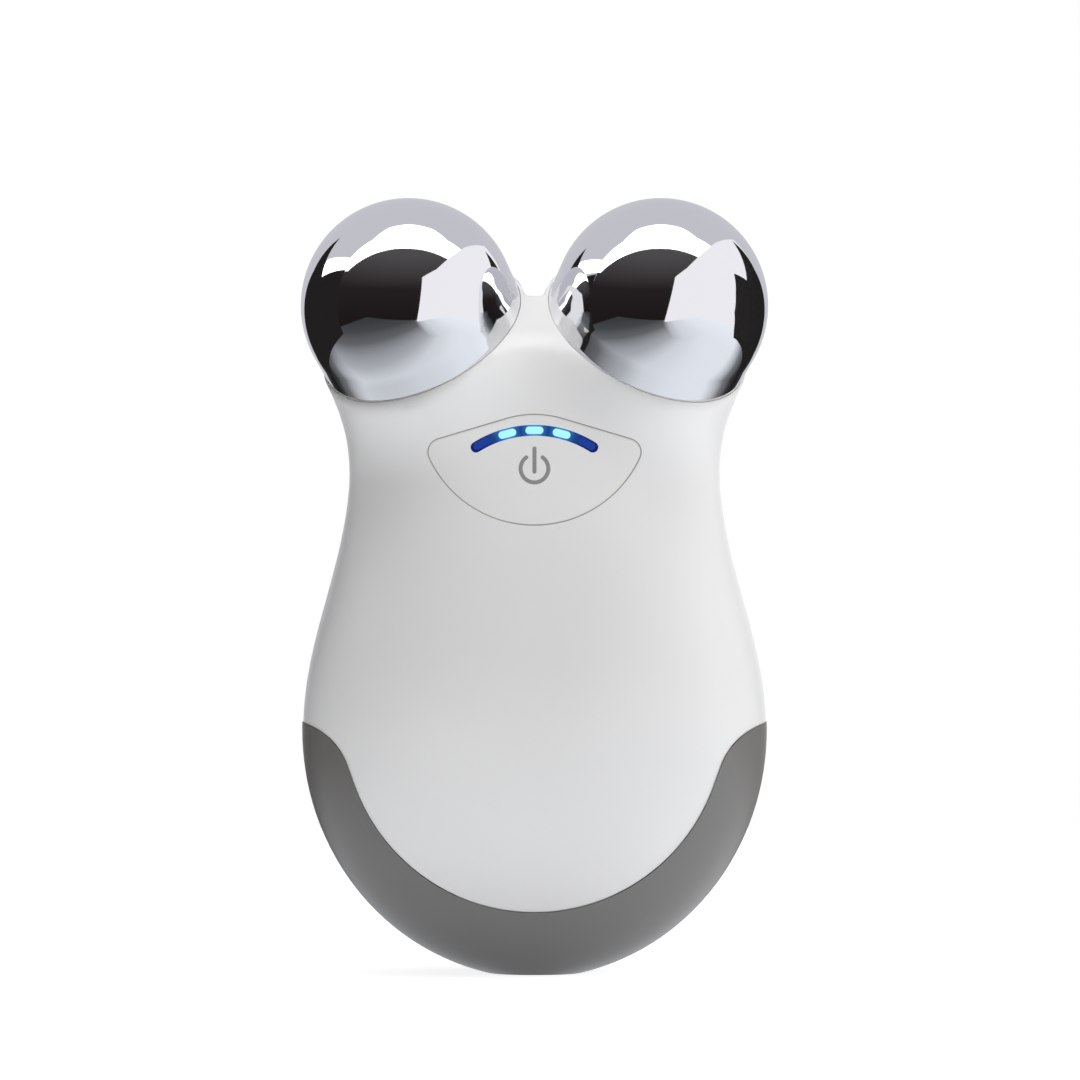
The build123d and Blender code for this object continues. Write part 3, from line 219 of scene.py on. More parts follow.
def outside(points):
    """How far each point lies outside the housing: trunk and cups, cut by rims and valley."""
    x, y, height = points.T
    middle = -NECK_LEAN * (np.clip(height - WAIST[2], 0, None) / NECK_RISE) ** 2
    width = trunk_half(BELLY[0], FOOT[0], WAIST[0], height)
    depth = trunk_half(BELLY[1], FOOT[1], WAIST[1], height)
    u, v = np.abs(x) / width + TINY, np.abs(y - middle) / depth + TINY
    size = (u**SECTION_POWER + v**SECTION_POWER) ** (1 / SECTION_POWER)
    bend = SECTION_POWER - 1
    slope = np.hypot((u / size) ** bend / width, (v / size) ** bend / depth)
    trunk = (size - 1) / slope
    cups, rims = [], []
    for side in SIDES:
        axis = cup_axis(side)
        offset = points - ball_centre(side)
        rims.append(offset @ axis + RIM_DROP)
        along = np.maximum(offset @ axis, -CUP_END)
        cups.append(np.linalg.norm(offset - along[:, None] * axis, axis=1) - CUP_RADIUS)
    form = soft_union(soft_union(*cups, WEB_BLEND), trunk, CUP_BLEND)
    radius, low = np.interp(y, VALLEY_Y, VALLEY_RADIUS), np.interp(y, VALLEY_Y, VALLEY_LOW)
    valley = radius - np.hypot(x, np.minimum(height - low - radius, 0))
    valley = soft_union(valley, soft_union(*cups, RIM_SOFTNESS), EDGE_SOFTNESS)
    return soft_cut(soft_cut(form, soft_cut(*rims, RIM_SOFTNESS)), valley)


def skin_normals(points):
    """Outward direction of the housing's form at each point."""
    steps = np.eye(3) * NORMAL_STEP
    slopes = [outside(points + step) - outside(points - step) for step in steps]
    normals = np.stack(slopes, axis=1)
    return normals / np.linalg.norm(normals, axis=1)[:, None]


def merged_mesh(source):
    """Copy of a CAD mesh with its facets joined, smooth but for its real edges."""
    mesh = source.data.copy()
    mesh.materials.clear()
    merged = bmesh.new()
    merged.from_mesh(mesh)
    bmesh.ops.remove_doubles(merged, verts=merged.verts, dist=MERGE)
    bmesh.ops.dissolve_degenerate(merged, edges=merged.edges, dist=SLIVER)
    for edge in merged.edges:
        edge.smooth = len(edge.link_faces) == 2 and edge.calc_face_angle(0) < CREASE
    for face in merged.faces:
        face.smooth = True
    merged.to_mesh(mesh)
    merged.free()
    return mesh


def moulded_copy(
    node, body, slot, lift=0.0, direction=skin_normals, distance=outside, near=NEAR_SKIN
):
    """A merged copy of a CAD node whose outer skin is shaded by the true form, not by facets."""
    mesh = merged_mesh(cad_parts[node])
    points = points_of(mesh)
    on_skin = np.abs(distance(points) - lift) < near
    ideal = direction(points)
    corners = np.array([n.vector for n in mesh.corner_normals])
    owners = np.array([loop.vertex_index for loop in mesh.loops])
    totals = [face.loop_total for face in mesh.polygons]
    flat = np.repeat(np.array([face.normal for face in mesh.polygons]), totals, axis=0)
    ours = on_skin[owners] & (np.sum(flat * ideal[owners], axis=1) > FACING)
    corners[ours] = ideal[owners][ours]
    mesh.normals_split_custom_set(corners.tolist())
    piece = new_object(node + "_finished", mesh)
    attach(piece, body)
    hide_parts(node)
    return piece


shell_white = moulded_material(
    "glossy white ABS",
    (0.80, 0.80, 0.80),
    0.30,
    scale=900,
    tone=0.012,
    spread=0.03,
    Coat_Weight=0.25,
    Coat_Roughness=0.24,
)
halves = [moulded_copy(half, "housing", "white_shell") for half in ("front_shell", "rear_shell")]
for half in halves:
    finish_with(half, shell_white)

# ---- Painted gap lines ------------------------------------------------------------------------
# Thin strips set a hair below the housing's skin in the gaps round the key and along the grip's
# upper edge. Their colour is painted light in place of the dark the open gaps render: a pale
# painted line round the key, and a painted highlight along the grip's upper edge.
SEAM_SUNK = 0.05
EDGE_LOW, EDGE_RADIUS, EDGE_SLOPE = 9.24, 26.4, math.radians(70)  # the grip edge's bottom arc
EDGE_RUN, EDGE_SHOULDER = 3.05, 8.9  # its straight run and the arc of its shoulder
EDGE_NEAR, GRIP_TOP = 0.4, 36
KEY_FRONT, KEY_HALF, KEY_LOW, KEY_HIGH = -5, 16, 62, 79  # space that holds the key's opening
SKIN_FACING, SIDE_FACING = 0.9, 0.5  # cosines outward: least of the skin, most of the gap's side


def grip_edge(x):
    """Height of the white housing's lower edge at a distance from the middle."""
    x = abs(x)
    foot = EDGE_RADIUS * math.sin(EDGE_SLOPE)
    knee = foot + EDGE_RUN * math.cos(EDGE_SLOPE)
    top = knee + EDGE_SHOULDER * math.sin(EDGE_SLOPE)
    foot_z = EDGE_LOW + EDGE_RADIUS * (1 - math.cos(EDGE_SLOPE))
    knee_z = foot_z + EDGE_RUN * math.sin(EDGE_SLOPE)
    if x < foot:
        return EDGE_LOW + EDGE_RADIUS - math.sqrt(EDGE_RADIUS**2 - x**2)
    if x < knee:
        return foot_z + (x - foot) * math.tan(EDGE_SLOPE)
    drop = math.sqrt(EDGE_SHOULDER**2 - (top - min(x, top)) ** 2)
    return knee_z - EDGE_SHOULDER * math.cos(EDGE_SLOPE) + drop


def round_the_key(point):
    return point.y < KEY_FRONT and abs(point.x) < KEY_HALF and KEY_LOW < point.z < KEY_HIGH


def along_the_grip(point):
    return point.z < GRIP_TOP and abs(point.z - grip_edge(point.x)) < EDGE_NEAR


def faces_by_edge(mesh):
    sides = {}
    for face in mesh.polygons:
        for key in face.edge_keys:
            sides.setdefault(key, []).append(face)
    return sides.items()


def painted_gap_line(name, chosen, width, material):
    """Strip along the chosen housing edges, reaching width into the gap, coloured as painted light.
    """
    corners, quads = [], []
    for half in halves:
        mesh = half.data
        normals = skin_normals(points_of(mesh))
        for (first, second), faces in faces_by_edge(mesh):
            ends = [mesh.vertices[first].co, mesh.vertices[second].co]
            if len(faces) != 2 or not chosen((ends[0] + ends[1]) / 2 / MM):
                continue
            out = Vector(normals[first]) + Vector(normals[second])
            out.normalize()
            inner, outer = sorted(faces, key=lambda face: face.normal.dot(out))
            if outer.normal.dot(out) < SKIN_FACING or inner.normal.dot(out) > SIDE_FACING:
                continue
            across = (ends[1] - ends[0]).cross(out).normalized()
            if across.dot(outer.center - ends[0]) > 0:
                across.negate()
            low = [end - out * SEAM_SUNK * MM for end in ends]
            reach = across * width * MM
            start = len(corners)
            corners += [low[0], low[1], low[1] + reach, low[0] + reach]
            quads.append(range(start, start + 4))
    mesh = bpy.data.meshes.new(name)
    mesh.from_pydata(corners, [], quads)
    line_strip = new_object(name, mesh)
    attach(line_strip, "housing")
    finish_with(line_strip, material)


# Painted light: a pale line round the key, and a highlight along the grip's upper edge.
key_gap_painted_line = moulded_material("cream painted key gap line", (0.38, 0.37, 0.32), 0.5, scale=2600)
grip_edge_painted_highlight = moulded_material("grey painted grip edge highlight", (0.42, 0.415, 0.40), 0.5, scale=2600)
painted_gap_line("key_gap_painted_line", round_the_key, width=0.17, material=key_gap_painted_line)
painted_gap_line("grip_edge_painted_highlight", along_the_grip, width=0.14, material=grip_edge_painted_highlight)

# ---- Contact balls ----------------------------------------------------------------------------
# Drawn metal balls, ground and chrome plated to a mirror. Each is pressed over a brass plug
# whose stud carries it in its cup and takes the current to the board.
ON_BALL = 0.1  # within this distance of the sphere a vertex is shaded as part of it


def ball_distance(side):
    return lambda points: np.linalg.norm(points - ball_centre(side), axis=1) - BALL_RADIUS


def ball_normals(side):
    def direction(points):
        offset = points - ball_centre(side)
        return offset / np.linalg.norm(offset, axis=1)[:, None]

    return direction


chrome = moulded_material(
    "mirror chrome", (0.86, 0.86, 0.88), 0.035, scale=700, tone=0.0, spread=0.012, Metallic=1.0
)
for name, side in zip(("ball_left", "ball_right"), SIDES):
    sphere = {"direction": ball_normals(side), "distance": ball_distance(side), "near": ON_BALL}
    ball = moulded_copy(name, "housing", "chrome_ball", **sphere)
    finish_with(ball, chrome)
    ball.visible_diffuse = False  # a mirror passes light on, so it shades nothing near it

# ---- Key, power symbol and light bar ----------------------------------------------------------
# The key is a matte white moulding let into the neck; it gives 0.3 mm when pressed. The symbol
# is a grey inlay, and the light bar a clear blue strip with five lamps behind it.
key_white = moulded_material(
    "matte key white", (0.785, 0.785, 0.775), 0.5, scale=2600, tone=0.01, spread=0.08, bump=0.15
)
finish_with(moulded_copy("key_plate", "key", "key_white"), key_white)
symbol_grey = moulded_material("symbol grey", (0.26, 0.26, 0.255), 0.45, scale=2600, tone=0.02)
finish_with(moulded_copy("power_symbol", "key", "symbol_grey"), symbol_grey)

BAR_CENTRE, BAR_RADIUS = 60.6, 15.2  # height of the arc's centre, and the arc's radius
LAMP_ON = (False, True, True, True, False)
CELL_PITCH = math.radians(14.3)  # along the arc, from lamp to lamp
CELL_SIZE = (2.5, 1.05)
CELL_DEPTH = 0.25
CELL_CORNER, CORNER_STEPS = 0.49, 8  # corner radius as a share of the width
CELL_PROUD, CELL_SUNK = 0.03, 0.3  # front and back of a window, from the housing's skin
FRONT_FACE = -0.1  # windows are built about y = 0: whatever lies before this is their front
SKIN_SEARCH, HALVINGS = (-30.0, 0.0), 40
BAR_DARK, BAR_UNLIT = (0.0, 0.001, 0.01), (0.0, 0.003, 0.03)
BAR_BETWEEN, BAR_LIT = (0.01, 0.06, 0.16), (0.05, 0.33, 0.72)
CELL_LIT, CELL_UNLIT = (0.42, 0.93, 1.0), (0.0, 0.016, 0.13)


def light_bar_material():
    """Deep blue strip that glows round each lit lamp and darkens along the arc between them."""
    blue = (0.002, 0.010, 0.15)
    material = moulded_material("blue light bar", blue, 0.16, scale=900, spread=0.02)
    tree = material.node_tree
    split, _ = place_split(tree)
    rise = {0: split["Z"], 1: BAR_CENTRE * MM}
    height = add_node(tree, "ShaderNodeMath", rise, "SUBTRACT").outputs[0]
    angle = add_node(tree, "ShaderNodeMath", {0: split["X"], 1: height}, "ARCTAN2").outputs[0]
    reach = CELL_PITCH * len(LAMP_ON) / 2
    stops = [(0.0, BAR_DARK)]
    for cell, lit in enumerate(LAMP_ON):
        if cell:
            stops.append((cell / len(LAMP_ON), BAR_BETWEEN))
        stops.append(((cell + 0.5) / len(LAMP_ON), BAR_LIT if lit else BAR_UNLIT))
    stops.append((1.0, BAR_DARK))
    glow = colour_ramp(tree, angle, -reach, reach, stops).outputs["Color"]
    shader = tree.nodes["Principled BSDF"]
    feed(tree, shader, {"Emission Color": glow, "Emission Strength": 0.75})
    return material


def cell_material():
    """Lamp windows: nearly white where the lamp is on, dim blue where it is off."""
    material, tree, shader = new_material("lamp window")
    split, _ = place_split(tree)
    side = add_node(tree, "ShaderNodeMath", {0: split["X"]}, "ABSOLUTE").outputs[0]
    lit_half = BAR_RADIUS * math.sin(CELL_PITCH * sum(LAMP_ON) / 2) * MM
    glow = colour_ramp(tree, side, 0.0, lit_half * 2, [(0.0, CELL_LIT), (0.5, CELL_UNLIT)])
    glow.color_ramp.interpolation = "CONSTANT"
    feed(tree, shader, {"Base Color": (0.005, 0.030, 0.22, 1), "Roughness": 0.2})
    feed(tree, shader, {"Emission Color": glow.outputs["Color"], "Emission Strength": 1.0})
    return material


def lamp_window_tree(material):
    """Geometry Nodes tree that sets rounded windows along the bar's arc, and its input names."""
    tree = bpy.data.node_groups.new("lamp windows", "GeometryNodeTree")
    values = {
        "Count": len(LAMP_ON),
        "Radius": BAR_RADIUS * MM,
        "Pitch": CELL_PITCH,
        "Length": CELL_SIZE[0] * MM,
        "Width": CELL_SIZE[1] * MM,
    }
    identifiers = {}
    for name, value in values.items():
        kind = "NodeSocketInt" if name == "Count" else "NodeSocketFloat"
        socket = tree.interface.new_socket(name=name, in_out="INPUT", socket_type=kind)
        socket.default_value = value
        identifiers[name] = socket.identifier
    tree.interface.new_socket(name="Geometry", in_out="OUTPUT", socket_type="NodeSocketGeometry")

    given = add_node(tree, "NodeGroupInput").outputs
    line = {"Count": given["Count"], "Offset": (0, 0, 0)}
    row = add_node(tree, "GeometryNodeMeshLine", line, mode="OFFSET").outputs["Mesh"]
    index = add_node(tree, "GeometryNodeInputIndex").outputs[0]
    centring = {0: index, 1: (len(LAMP_ON) - 1) / 2}
    centred = add_node(tree, "ShaderNodeMath", centring, "SUBTRACT").outputs[0]
    turning = {0: centred, 1: given["Pitch"]}
    turn = add_node(tree, "ShaderNodeMath", turning, "MULTIPLY").outputs[0]
    sine = add_node(tree, "ShaderNodeMath", {0: turn}, "SINE").outputs[0]
    cosine = add_node(tree, "ShaderNodeMath", {0: turn}, "COSINE").outputs[0]
    toward = add_node(tree, "ShaderNodeCombineXYZ", {"X": sine, "Z": cosine}).outputs[0]
    reach = {0: toward, "Scale": given["Radius"]}
    place = add_node(tree, "ShaderNodeVectorMath", reach, "SCALE").outputs[0]
    spots = add_node(tree, "GeometryNodeSetPosition", {"Geometry": row, "Position": place})

    size = {"Width": given["Length"], "Height": given["Width"]}
    window = add_node(tree, "GeometryNodeCurvePrimitiveQuadrilateral", size).outputs["Curve"]
    rounding = {0: given["Width"], 1: CELL_CORNER}
    corner = add_node(tree, "ShaderNodeMath", rounding, "MULTIPLY").outputs[0]
    fillet = {"Curve": window, "Radius": corner, "Count": CORNER_STEPS}
    rounded = add_node(tree, "GeometryNodeFilletCurve", fillet, mode="POLY").outputs["Curve"]
    fill = add_node(tree, "GeometryNodeFillCurve", {"Curve": rounded}, mode="NGONS")
    thick = {"Mesh": fill.outputs["Mesh"], "Offset Scale": CELL_DEPTH * MM}
    solid = add_node(tree, "GeometryNodeExtrudeMesh", thick).outputs["Mesh"]

    tilt = add_node(tree, "ShaderNodeCombineXYZ", {"X": math.radians(90), "Y": turn}).outputs[0]
    set_out = {"Points": spots.outputs["Geometry"], "Instance": solid, "Rotation": tilt}
    copies = add_node(tree, "GeometryNodeInstanceOnPoints", set_out).outputs["Instances"]
    real = add_node(tree, "GeometryNodeRealizeInstances", {"Geometry": copies}).outputs[0]
    coat = {"Geometry": real, "Material": material}
    paint = add_node(tree, "GeometryNodeSetMaterial", coat).outputs[0]
    add_node(tree, "NodeGroupOutput", {0: paint})
    return tree, identifiers


def lamp_cells(material):
    """Mesh of the lamp windows, as their tree makes it."""
    tree, identifiers = lamp_window_tree(material)
    holder = new_object("lamp_holder", bpy.data.meshes.new("lamp_holder"))
    builder = holder.modifiers.new("windows", "NODES")
    builder.node_group = tree
    builder[identifiers["Count"]] = len(LAMP_ON)
    evaluated = holder.evaluated_get(bpy.context.evaluated_depsgraph_get())
    mesh = bpy.data.meshes.new_from_object(evaluated)
    bpy.data.objects.remove(holder)
    return mesh


def skin_y(x, height):
    """Depth of the housing's front skin at a place seen from the front."""
    near, far = SKIN_SEARCH
    for _ in range(HALVINGS):
        middle = (near + far) / 2
        if outside(np.array([[x, middle, height]]))[0] > 0:
            near = middle
        else:
            far = middle
    return far


finish_with(moulded_copy("light_bar", "key", "light_blue"), light_bar_material())
cells_mesh = lamp_cells(cell_material())
for vertex in cells_mesh.vertices:
    x, height = vertex.co.x / MM, vertex.co.z / MM + BAR_CENTRE
    front = vertex.co.y < FRONT_FACE * MM
    vertex.co.y = (skin_y(x, height) + (-CELL_PROUD if front else CELL_SUNK)) * MM
    vertex.co.z = height * MM
cells_mesh.update()
cells = new_object("light_cells", cells_mesh)
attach(cells, "key")

# ---- Grip and foot ----------------------------------------------------------------------------
# A soft-touch cup of grey elastomer over the lower housing, screwed on from below, with a fine
# matte skin, and a thin rubber pad let into its flat foot over the screws.
GRIP_PROUD = 0.15  # how far the grip stands out from the housing's form
grip_grey = moulded_material(
    "soft-touch grey",
    (0.156, 0.15, 0.143),
    0.36,
    scale=3200,
    tone=0.03,
    spread=0.10,
    bump=0.25,
    Specular_IOR_Level=0.8,
)
finish_with(moulded_copy("base_grip", "housing", "grip_grey", lift=GRIP_PROUD), grip_grey)
foot_rubber = moulded_material(
    "foot rubber", (0.04, 0.04, 0.04), 0.6, scale=3000, tone=0.05, bump=0.3
)
finish_with(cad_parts["foot_pad"], foot_rubber)

# ---- Charging inlet and fasteners -------------------------------------------------------------
# A black barrel inlet low on the back, held by a nut inside, with a plated pin in its bore. The
# screws, stud nuts and ring terminals inside are plated steel as well.
black_plastic = moulded_material(
    "black moulding", (0.022, 0.022, 0.024), 0.38, scale=2200, tone=0.05, bump=0.1
)
plated_steel = moulded_material(
    "plated steel", (0.62, 0.62, 0.61), 0.28, scale=2600, tone=0.05, Metallic=1.0
)
finish_with(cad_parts["charge_jack"], black_plastic)
steel_nodes = ("jack_pin", "jack_nut", "ring_terminals", "stud_nuts")
for node in (*steel_nodes, "board_screws", "housing_screws", "base_screws"):
    finish_with(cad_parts[node], plated_steel)

# ---- Inside -----------------------------------------------------------------------------------
# Board, battery, wiring and seals, hidden in the closed housing, each in its own finish. The
# board is screwed to the front half, and a foam pad holds the foil battery to the rear half.
inner_finishes = {  # name: colour, roughness, metallic, nodes
    "turned brass": ((0.72, 0.52, 0.22), 0.3, 1.0, ("ball_plug_left", "ball_plug_right")),
    "seal rubber": ((0.03, 0.03, 0.03), 0.6, 0.0, ("ball_gasket_left", "ball_gasket_right")),
    "white lead": ((0.7, 0.7, 0.68), 0.4, 0.0, ("ball_leads",)),
    "red lead": ((0.5, 0.02, 0.02), 0.4, 0.0, ("battery_leads",)),
    "black lead": ((0.03, 0.03, 0.03), 0.4, 0.0, ("jack_leads",)),
    "natural nylon": (
        (0.7, 0.7, 0.66),
        0.45,
        0.0,
        ("key_retainer", "switch_plunger", "light_shield", "battery_connector"),
    ),
    "green solder mask": ((0.02, 0.16, 0.07), 0.3, 0.0, ("circuit_board",)),
    "black component": (
        (0.03, 0.03, 0.03), 0.4, 0.0, ("tact_switch", "microcontroller", "beeper")
    ),
    "cream lamp": ((0.8, 0.75, 0.5), 0.25, 0.0, ("leds",)),
    "copper winding": ((0.6, 0.28, 0.12), 0.35, 1.0, ("pulse_transformer",)),
    "aluminium can": ((0.65, 0.65, 0.67), 0.3, 1.0, ("capacitors",)),
    "battery foil": ((0.6, 0.61, 0.63), 0.35, 1.0, ("battery",)),
    "dark foam": ((0.05, 0.05, 0.05), 0.9, 0.0, ("battery_pad",)),
}
for name, (colour, roughness, metallic, nodes) in inner_finishes.items():
    inner = moulded_material(
        name, colour, roughness, scale=1500, tone=0.08, bump=0.1, Metallic=metallic
    )
    for node in nodes:
        finish_with(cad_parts[node], inner)

# ---- Studio -----------------------------------------------------------------------------------
# White table top, a soft box overhead, a white card on the right, black cloth behind both sides
# and a dark room in front. The mirror balls show them, so each stands where it is seen in them.
BALL_MIDDLE = Vector((0, BALL_CENTRE[1] * MM, BALL_CENTRE[2] * MM))  # midway between the balls
SOFT_BOX_ABOVE, DRAPE_AWAY, CARD_AWAY = 0.55, 0.25, 0.5  # metres from there
WHITE = (1, 1, 1)


def stage_panel(name, corners, material, lights_room=False, mirrored=True):
    """A flat panel that the camera doesn't see and that casts no shadow."""
    mesh = bpy.data.meshes.new(name)
    mesh.from_pydata(corners, [], [range(len(corners))])
    panel = new_object(name, mesh)
    finish_with(panel, material)
    panel.visible_camera = False
    panel.visible_shadow = False
    panel.visible_diffuse = lights_room
    panel.visible_glossy = mirrored
    return panel


def seen_from_balls(away, directions):
    """Corners for (azimuth, elevation[, distance]) in degrees; azimuth 0 is front, + is right."""
    corners = []
    for azimuth, elevation, *own in directions:
        turn, rise = math.radians(azimuth), math.radians(elevation)
        level = math.cos(rise)
        toward = Vector((math.sin(turn) * level, -math.cos(turn) * level, math.sin(rise)))
        corners.append(BALL_MIDDLE + (own[0] if own else away) * toward)
    return corners


def glow_material(name, colour, strength):
    """A panel that shines evenly, or barely, whatever falls on it."""
    material, tree, _ = new_material(name)
    tree.nodes.clear()
    light = {"Color": (*colour, 1), "Strength": strength}
    glow = add_node(tree, "ShaderNodeEmission", light).outputs[0]
    add_node(tree, "ShaderNodeOutputMaterial", {"Surface": glow})
    return material


def choose(tree, fact, when_not, when_so):
    """Shader that is the one or the other by a fact about the ray."""
    sockets = {"Fac": fact, 1: when_not, 2: when_so}
    return add_node(tree, "ShaderNodeMixShader", sockets).outputs[0]


def blended(tree, mode, first, second):
    """Colour made of two by a blend mode."""
    mix = tree.nodes.new("ShaderNodeMix")
    mix.data_type, mix.blend_type = "RGBA", mode
    feed(tree, mix, {0: 1.0, 6: first, 7: second})  # factor and the two colours
    return mix.outputs[2]


def added(tree, first, second):
    """Shader that gives the light of both."""
    return add_node(tree, "ShaderNodeAddShader", {0: first, 1: second}).outputs[0]


# Table. The camera sees it white with its shadow, the room gets its bounce away from the
# device's foot, and the balls mirror it with painted shade on the left front and towards the
# cloth, and with a painted pool of the card's light on the right.
TABLE_WHITE, TABLE_LIFT, TABLE_BOUNCE = (0.72, 0.72, 0.72), 0.8, 0.52
TABLE_TINT = (0.98, 1.0, 1.03)
BOUNCE_SPAN = (0.02, 0.05)  # metres from the middle over which the bounce sets in
SLANT_SPAN, CARD_SPAN, DRAPE_SPAN = (-0.45, 0.05), (0.0, 0.3), (0.02, 0.14)  # of the tones below
LEFT_FRONT_SHADE = [(0, 0.05), (0.3, 0.07), (0.5, 0.14), (0.7, 0.46), (0.79, 0.72), (0.92, 0.85), (1, 0.88)]
CARD_LIGHT_POOL = [(0, 0.0), (0.08, 0.10), (0.17, 0.55), (0.27, 0.74), (0.6, 0.90), (1, 0.96)]
CLOTH_SHADE = [(0, 1.0), (0.25, 0.62), (0.5, 0.22), (1, 0.04)]
TABLE_CORNERS = [(-0.31, -0.31, 0), (0.42, -0.31, 0), (0.42, 0.45, 0), (-0.31, 0.45, 0)]


def table_material():
    """White table top whose look depends on the ray that meets it."""
    material, tree, _ = new_material("white table")
    tree.nodes.clear()
    split, place = place_split(tree)
    ray = add_node(tree, "ShaderNodeLightPath").outputs

    def tones(value, span, stops):
        tinted = [(position, [tone * c for c in TABLE_TINT]) for position, tone in stops]
        return colour_ramp(tree, value, *span, tinted).outputs["Color"]

    def glow(**look):
        return add_node(tree, "ShaderNodeEmission", look).outputs[0]

    # Painted shade at left front and back, and a painted pool of the card's light at right.
    slant = add_node(tree, "ShaderNodeMath", {0: split["X"], 1: split["Y"]}, "ADD").outputs[0]
    away = add_node(tree, "ShaderNodeVectorMath", {0: place}, "LENGTH").outputs["Value"]
    bounce = tones(away, BOUNCE_SPAN, [(0, 0.0), (1, TABLE_BOUNCE)])
    left_front_shade = tones(slant, SLANT_SPAN, LEFT_FRONT_SHADE)
    card_light_pool = tones(split["X"], CARD_SPAN, CARD_LIGHT_POOL)
    cloth_shade = tones(split["Y"], DRAPE_SPAN, CLOTH_SHADE)
    painted_light_and_shade = blended(tree, "LIGHTEN", left_front_shade, card_light_pool)
    seen_in_balls = glow(Color=blended(tree, "MULTIPLY", painted_light_and_shade, cloth_shade))
    matte = add_node(tree, "ShaderNodeBsdfDiffuse", {"Color": (*TABLE_WHITE, 1)}).outputs[0]
    for_room = added(tree, matte, glow(Color=bounce))
    for_camera = added(tree, matte, glow(Strength=TABLE_LIFT))
    mirrored = choose(tree, ray["Is Glossy Ray"], for_room, seen_in_balls)
    surface = choose(tree, ray["Is Camera Ray"], mirrored, for_camera)
    add_node(tree, "ShaderNodeOutputMaterial", {"Surface": surface})
    return material


table = stage_panel("table", TABLE_CORNERS, table_material(), lights_room=True)
table.visible_camera = True

# Two small lights that no reflection shows: one over the saddle, one low on the left.
NOSE_CORNERS = [
    (-0.018, -0.052, 0.135), (0.018, -0.052, 0.135), (0.018, -0.030, 0.150), (-0.018, -0.030, 0.150)
]
LOW_CORNERS = [
    (-0.10, -0.12, 0.015), (-0.03, -0.15, 0.015), (-0.03, -0.155, 0.05), (-0.10, -0.125, 0.05)
]
NOSE_STRENGTH, LOW_STRENGTH = 9.0, 5.1
nose_glow = glow_material("nose_light", WHITE, NOSE_STRENGTH)
stage_panel("nose_light", NOSE_CORNERS, nose_glow, lights_room=True, mirrored=False)
low_glow = glow_material("low_light", WHITE, LOW_STRENGTH)
stage_panel("low_light", LOW_CORNERS, low_glow, lights_room=True, mirrored=False)

# The soft box's outline is given per metre of height above the balls; card and cloths are given
# by the directions in which the balls show their corners, going round each panel.
BOX_OUTLINE = [
    (-1.81, -0.45), (0.0, -0.56), (0.83, -0.565), (1.81, -0.45), (3.15, 1.67),
    (2.13, 1.81), (1.41, 0.02), (0.57, -0.06), (0.3, 0.05), (0.0, 0.07),
    (-0.28, 0.04), (-0.565, -0.12), (-1.25, -0.15), (-1.75, 0.95), (-3.15, 1.67),
]
CARD = [
    (6.7, -18, 0.29), (16.5, 28, 1.5), (34, 36), (56, 45), (100, 47),
    (118, 40), (134, 32), (134, -30), (60, -30),
]
LEFT_DRAPE = [
    (-79, 27), (-83.5, 26), (-109.5, 16.5), (-126.5, 36), (-132, 15),
    (-141, 3), (-150, -12), (-152, -21), (-104, -24), (-79, -22),
]
RIGHT_DRAPE = [
    (91, 22), (85.5, 8), (83.5, -5), (88, -17), (93, -23.5), (104, -24.5),
    (152, -21), (150, -12), (141, 3), (132, 15), (126.5, 33.5), (107, 15),
]
box_corners = [BALL_MIDDLE + SOFT_BOX_ABOVE * Vector((x, y, 1)) for x, y in BOX_OUTLINE]
stage_panel("soft_box", box_corners, glow_material("soft box", WHITE, 2.6))
white_card = glow_material("white card", (0.97, 0.97, 1.0), 0.98)
stage_panel("right_card", seen_from_balls(CARD_AWAY, CARD), white_card)
black_cloth = glow_material("black cloth", (1.0, 0.92, 0.95), 0.017)
stage_panel("left_drape", seen_from_balls(DRAPE_AWAY, LEFT_DRAPE), black_cloth)
stage_panel("right_drape", seen_from_balls(DRAPE_AWAY, RIGHT_DRAPE), black_cloth)

# Surroundings. The camera sees white, the balls mirror a dark room in front and a pale wall
# behind, and matte surfaces get an even light that changes along each axis.
FILL_ACROSS = [(0.0, 0.0), (0.75, 0.0), (1.0, 2.4)]  # left to right
FILL_DEPTH = [(0.0, 0.0), (0.2, 0.0), (0.5, 0.27), (0.75, 0.35), (1.0, 0.7)]  # front to back
FILL_HEIGHT = [(0.0, 0.0), (0.65, 0.0), (1.0, 0.38)]  # level to overhead
ROOM_LOW, ROOM_HIGH = -0.4, 0.8
ROOM = [(0.0, (0.012, 0.008, 0.008)), (0.55, (0.02, 0.016, 0.017)), (1.0, (0.085, 0.078, 0.082))]
WALL = (0.60, 0.605, 0.645)
WALL_FROM = -0.13  # a little in front of the sides, so that no dark sliver shows at the soft box


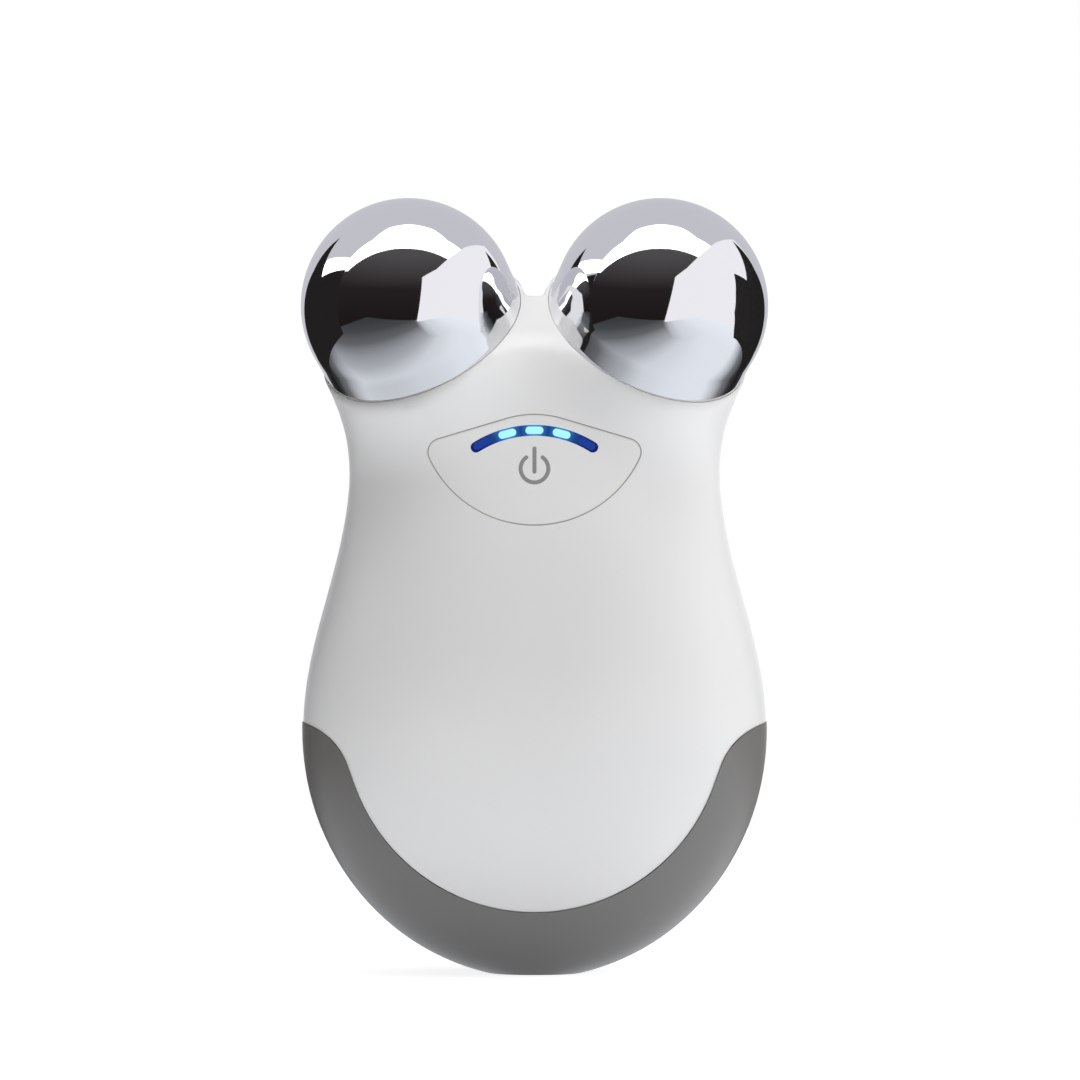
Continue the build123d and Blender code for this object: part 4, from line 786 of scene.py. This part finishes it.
def surroundings(tree):
    """Sets the world's shader by the ray that leaves the stage."""
    tree.nodes.clear()
    direction = add_node(tree, "ShaderNodeTexCoord").outputs["Generated"]
    split = add_node(tree, "ShaderNodeSeparateXYZ", {0: direction}).outputs
    ray = add_node(tree, "ShaderNodeLightPath").outputs

    def background(colour):
        return add_node(tree, "ShaderNodeBackground", {"Color": colour}).outputs[0]

    def fill(axis, low, tones):
        stops = [(position, (tone,) * 3) for position, tone in tones]
        return background(colour_ramp(tree, split[axis], low, 1, stops).outputs["Color"])

    level_fill = added(tree, fill("X", -1, FILL_ACROSS), fill("Y", -1, FILL_DEPTH))
    even_light = added(tree, level_fill, fill("Z", 0, FILL_HEIGHT))
    room = colour_ramp(tree, split["Z"], ROOM_LOW, ROOM_HIGH, ROOM).outputs["Color"]
    facing = {0: split["Y"], 1: WALL_FROM}
    behind = add_node(tree, "ShaderNodeMath", facing, "GREATER_THAN").outputs[0]
    seen_in_balls = choose(tree, behind, background(room), background((*WALL, 1)))
    unseen = choose(tree, ray["Is Glossy Ray"], even_light, seen_in_balls)
    surface = choose(tree, ray["Is Camera Ray"], unseen, background((*WHITE, 1)))
    add_node(tree, "ShaderNodeOutputWorld", {"Surface": surface})


world = bpy.data.worlds.new("studio")
world.use_nodes = True
surroundings(world.node_tree)
bpy.context.scene.world = world

# ---- Camera -----------------------------------------------------------------------------------
# It stands level, straight in front of the balls, and frames the device with room round it.
VIEW_MIDDLE = (0.77 * MM, 60.6 * MM)  # across and up
VIEW_WIDTH = 150.7 * MM  # in the plane of the balls' centres
CAMERA_AWAY = 0.9  # metres in front of that plane
SENSOR_WIDTH = 36.0
camera_data = bpy.data.cameras.new("camera")
camera_data.sensor_width = SENSOR_WIDTH
camera_data.lens = SENSOR_WIDTH * CAMERA_AWAY / VIEW_WIDTH
camera_data.clip_start = 0.01
camera = new_object("camera", camera_data)
camera.location = (VIEW_MIDDLE[0], BALL_MIDDLE.y - CAMERA_AWAY, VIEW_MIDDLE[1])
camera.rotation_euler = (math.radians(90), 0, 0)
bpy.context.scene.camera = camera
bpy.context.scene.view_settings.view_transform = "Standard"
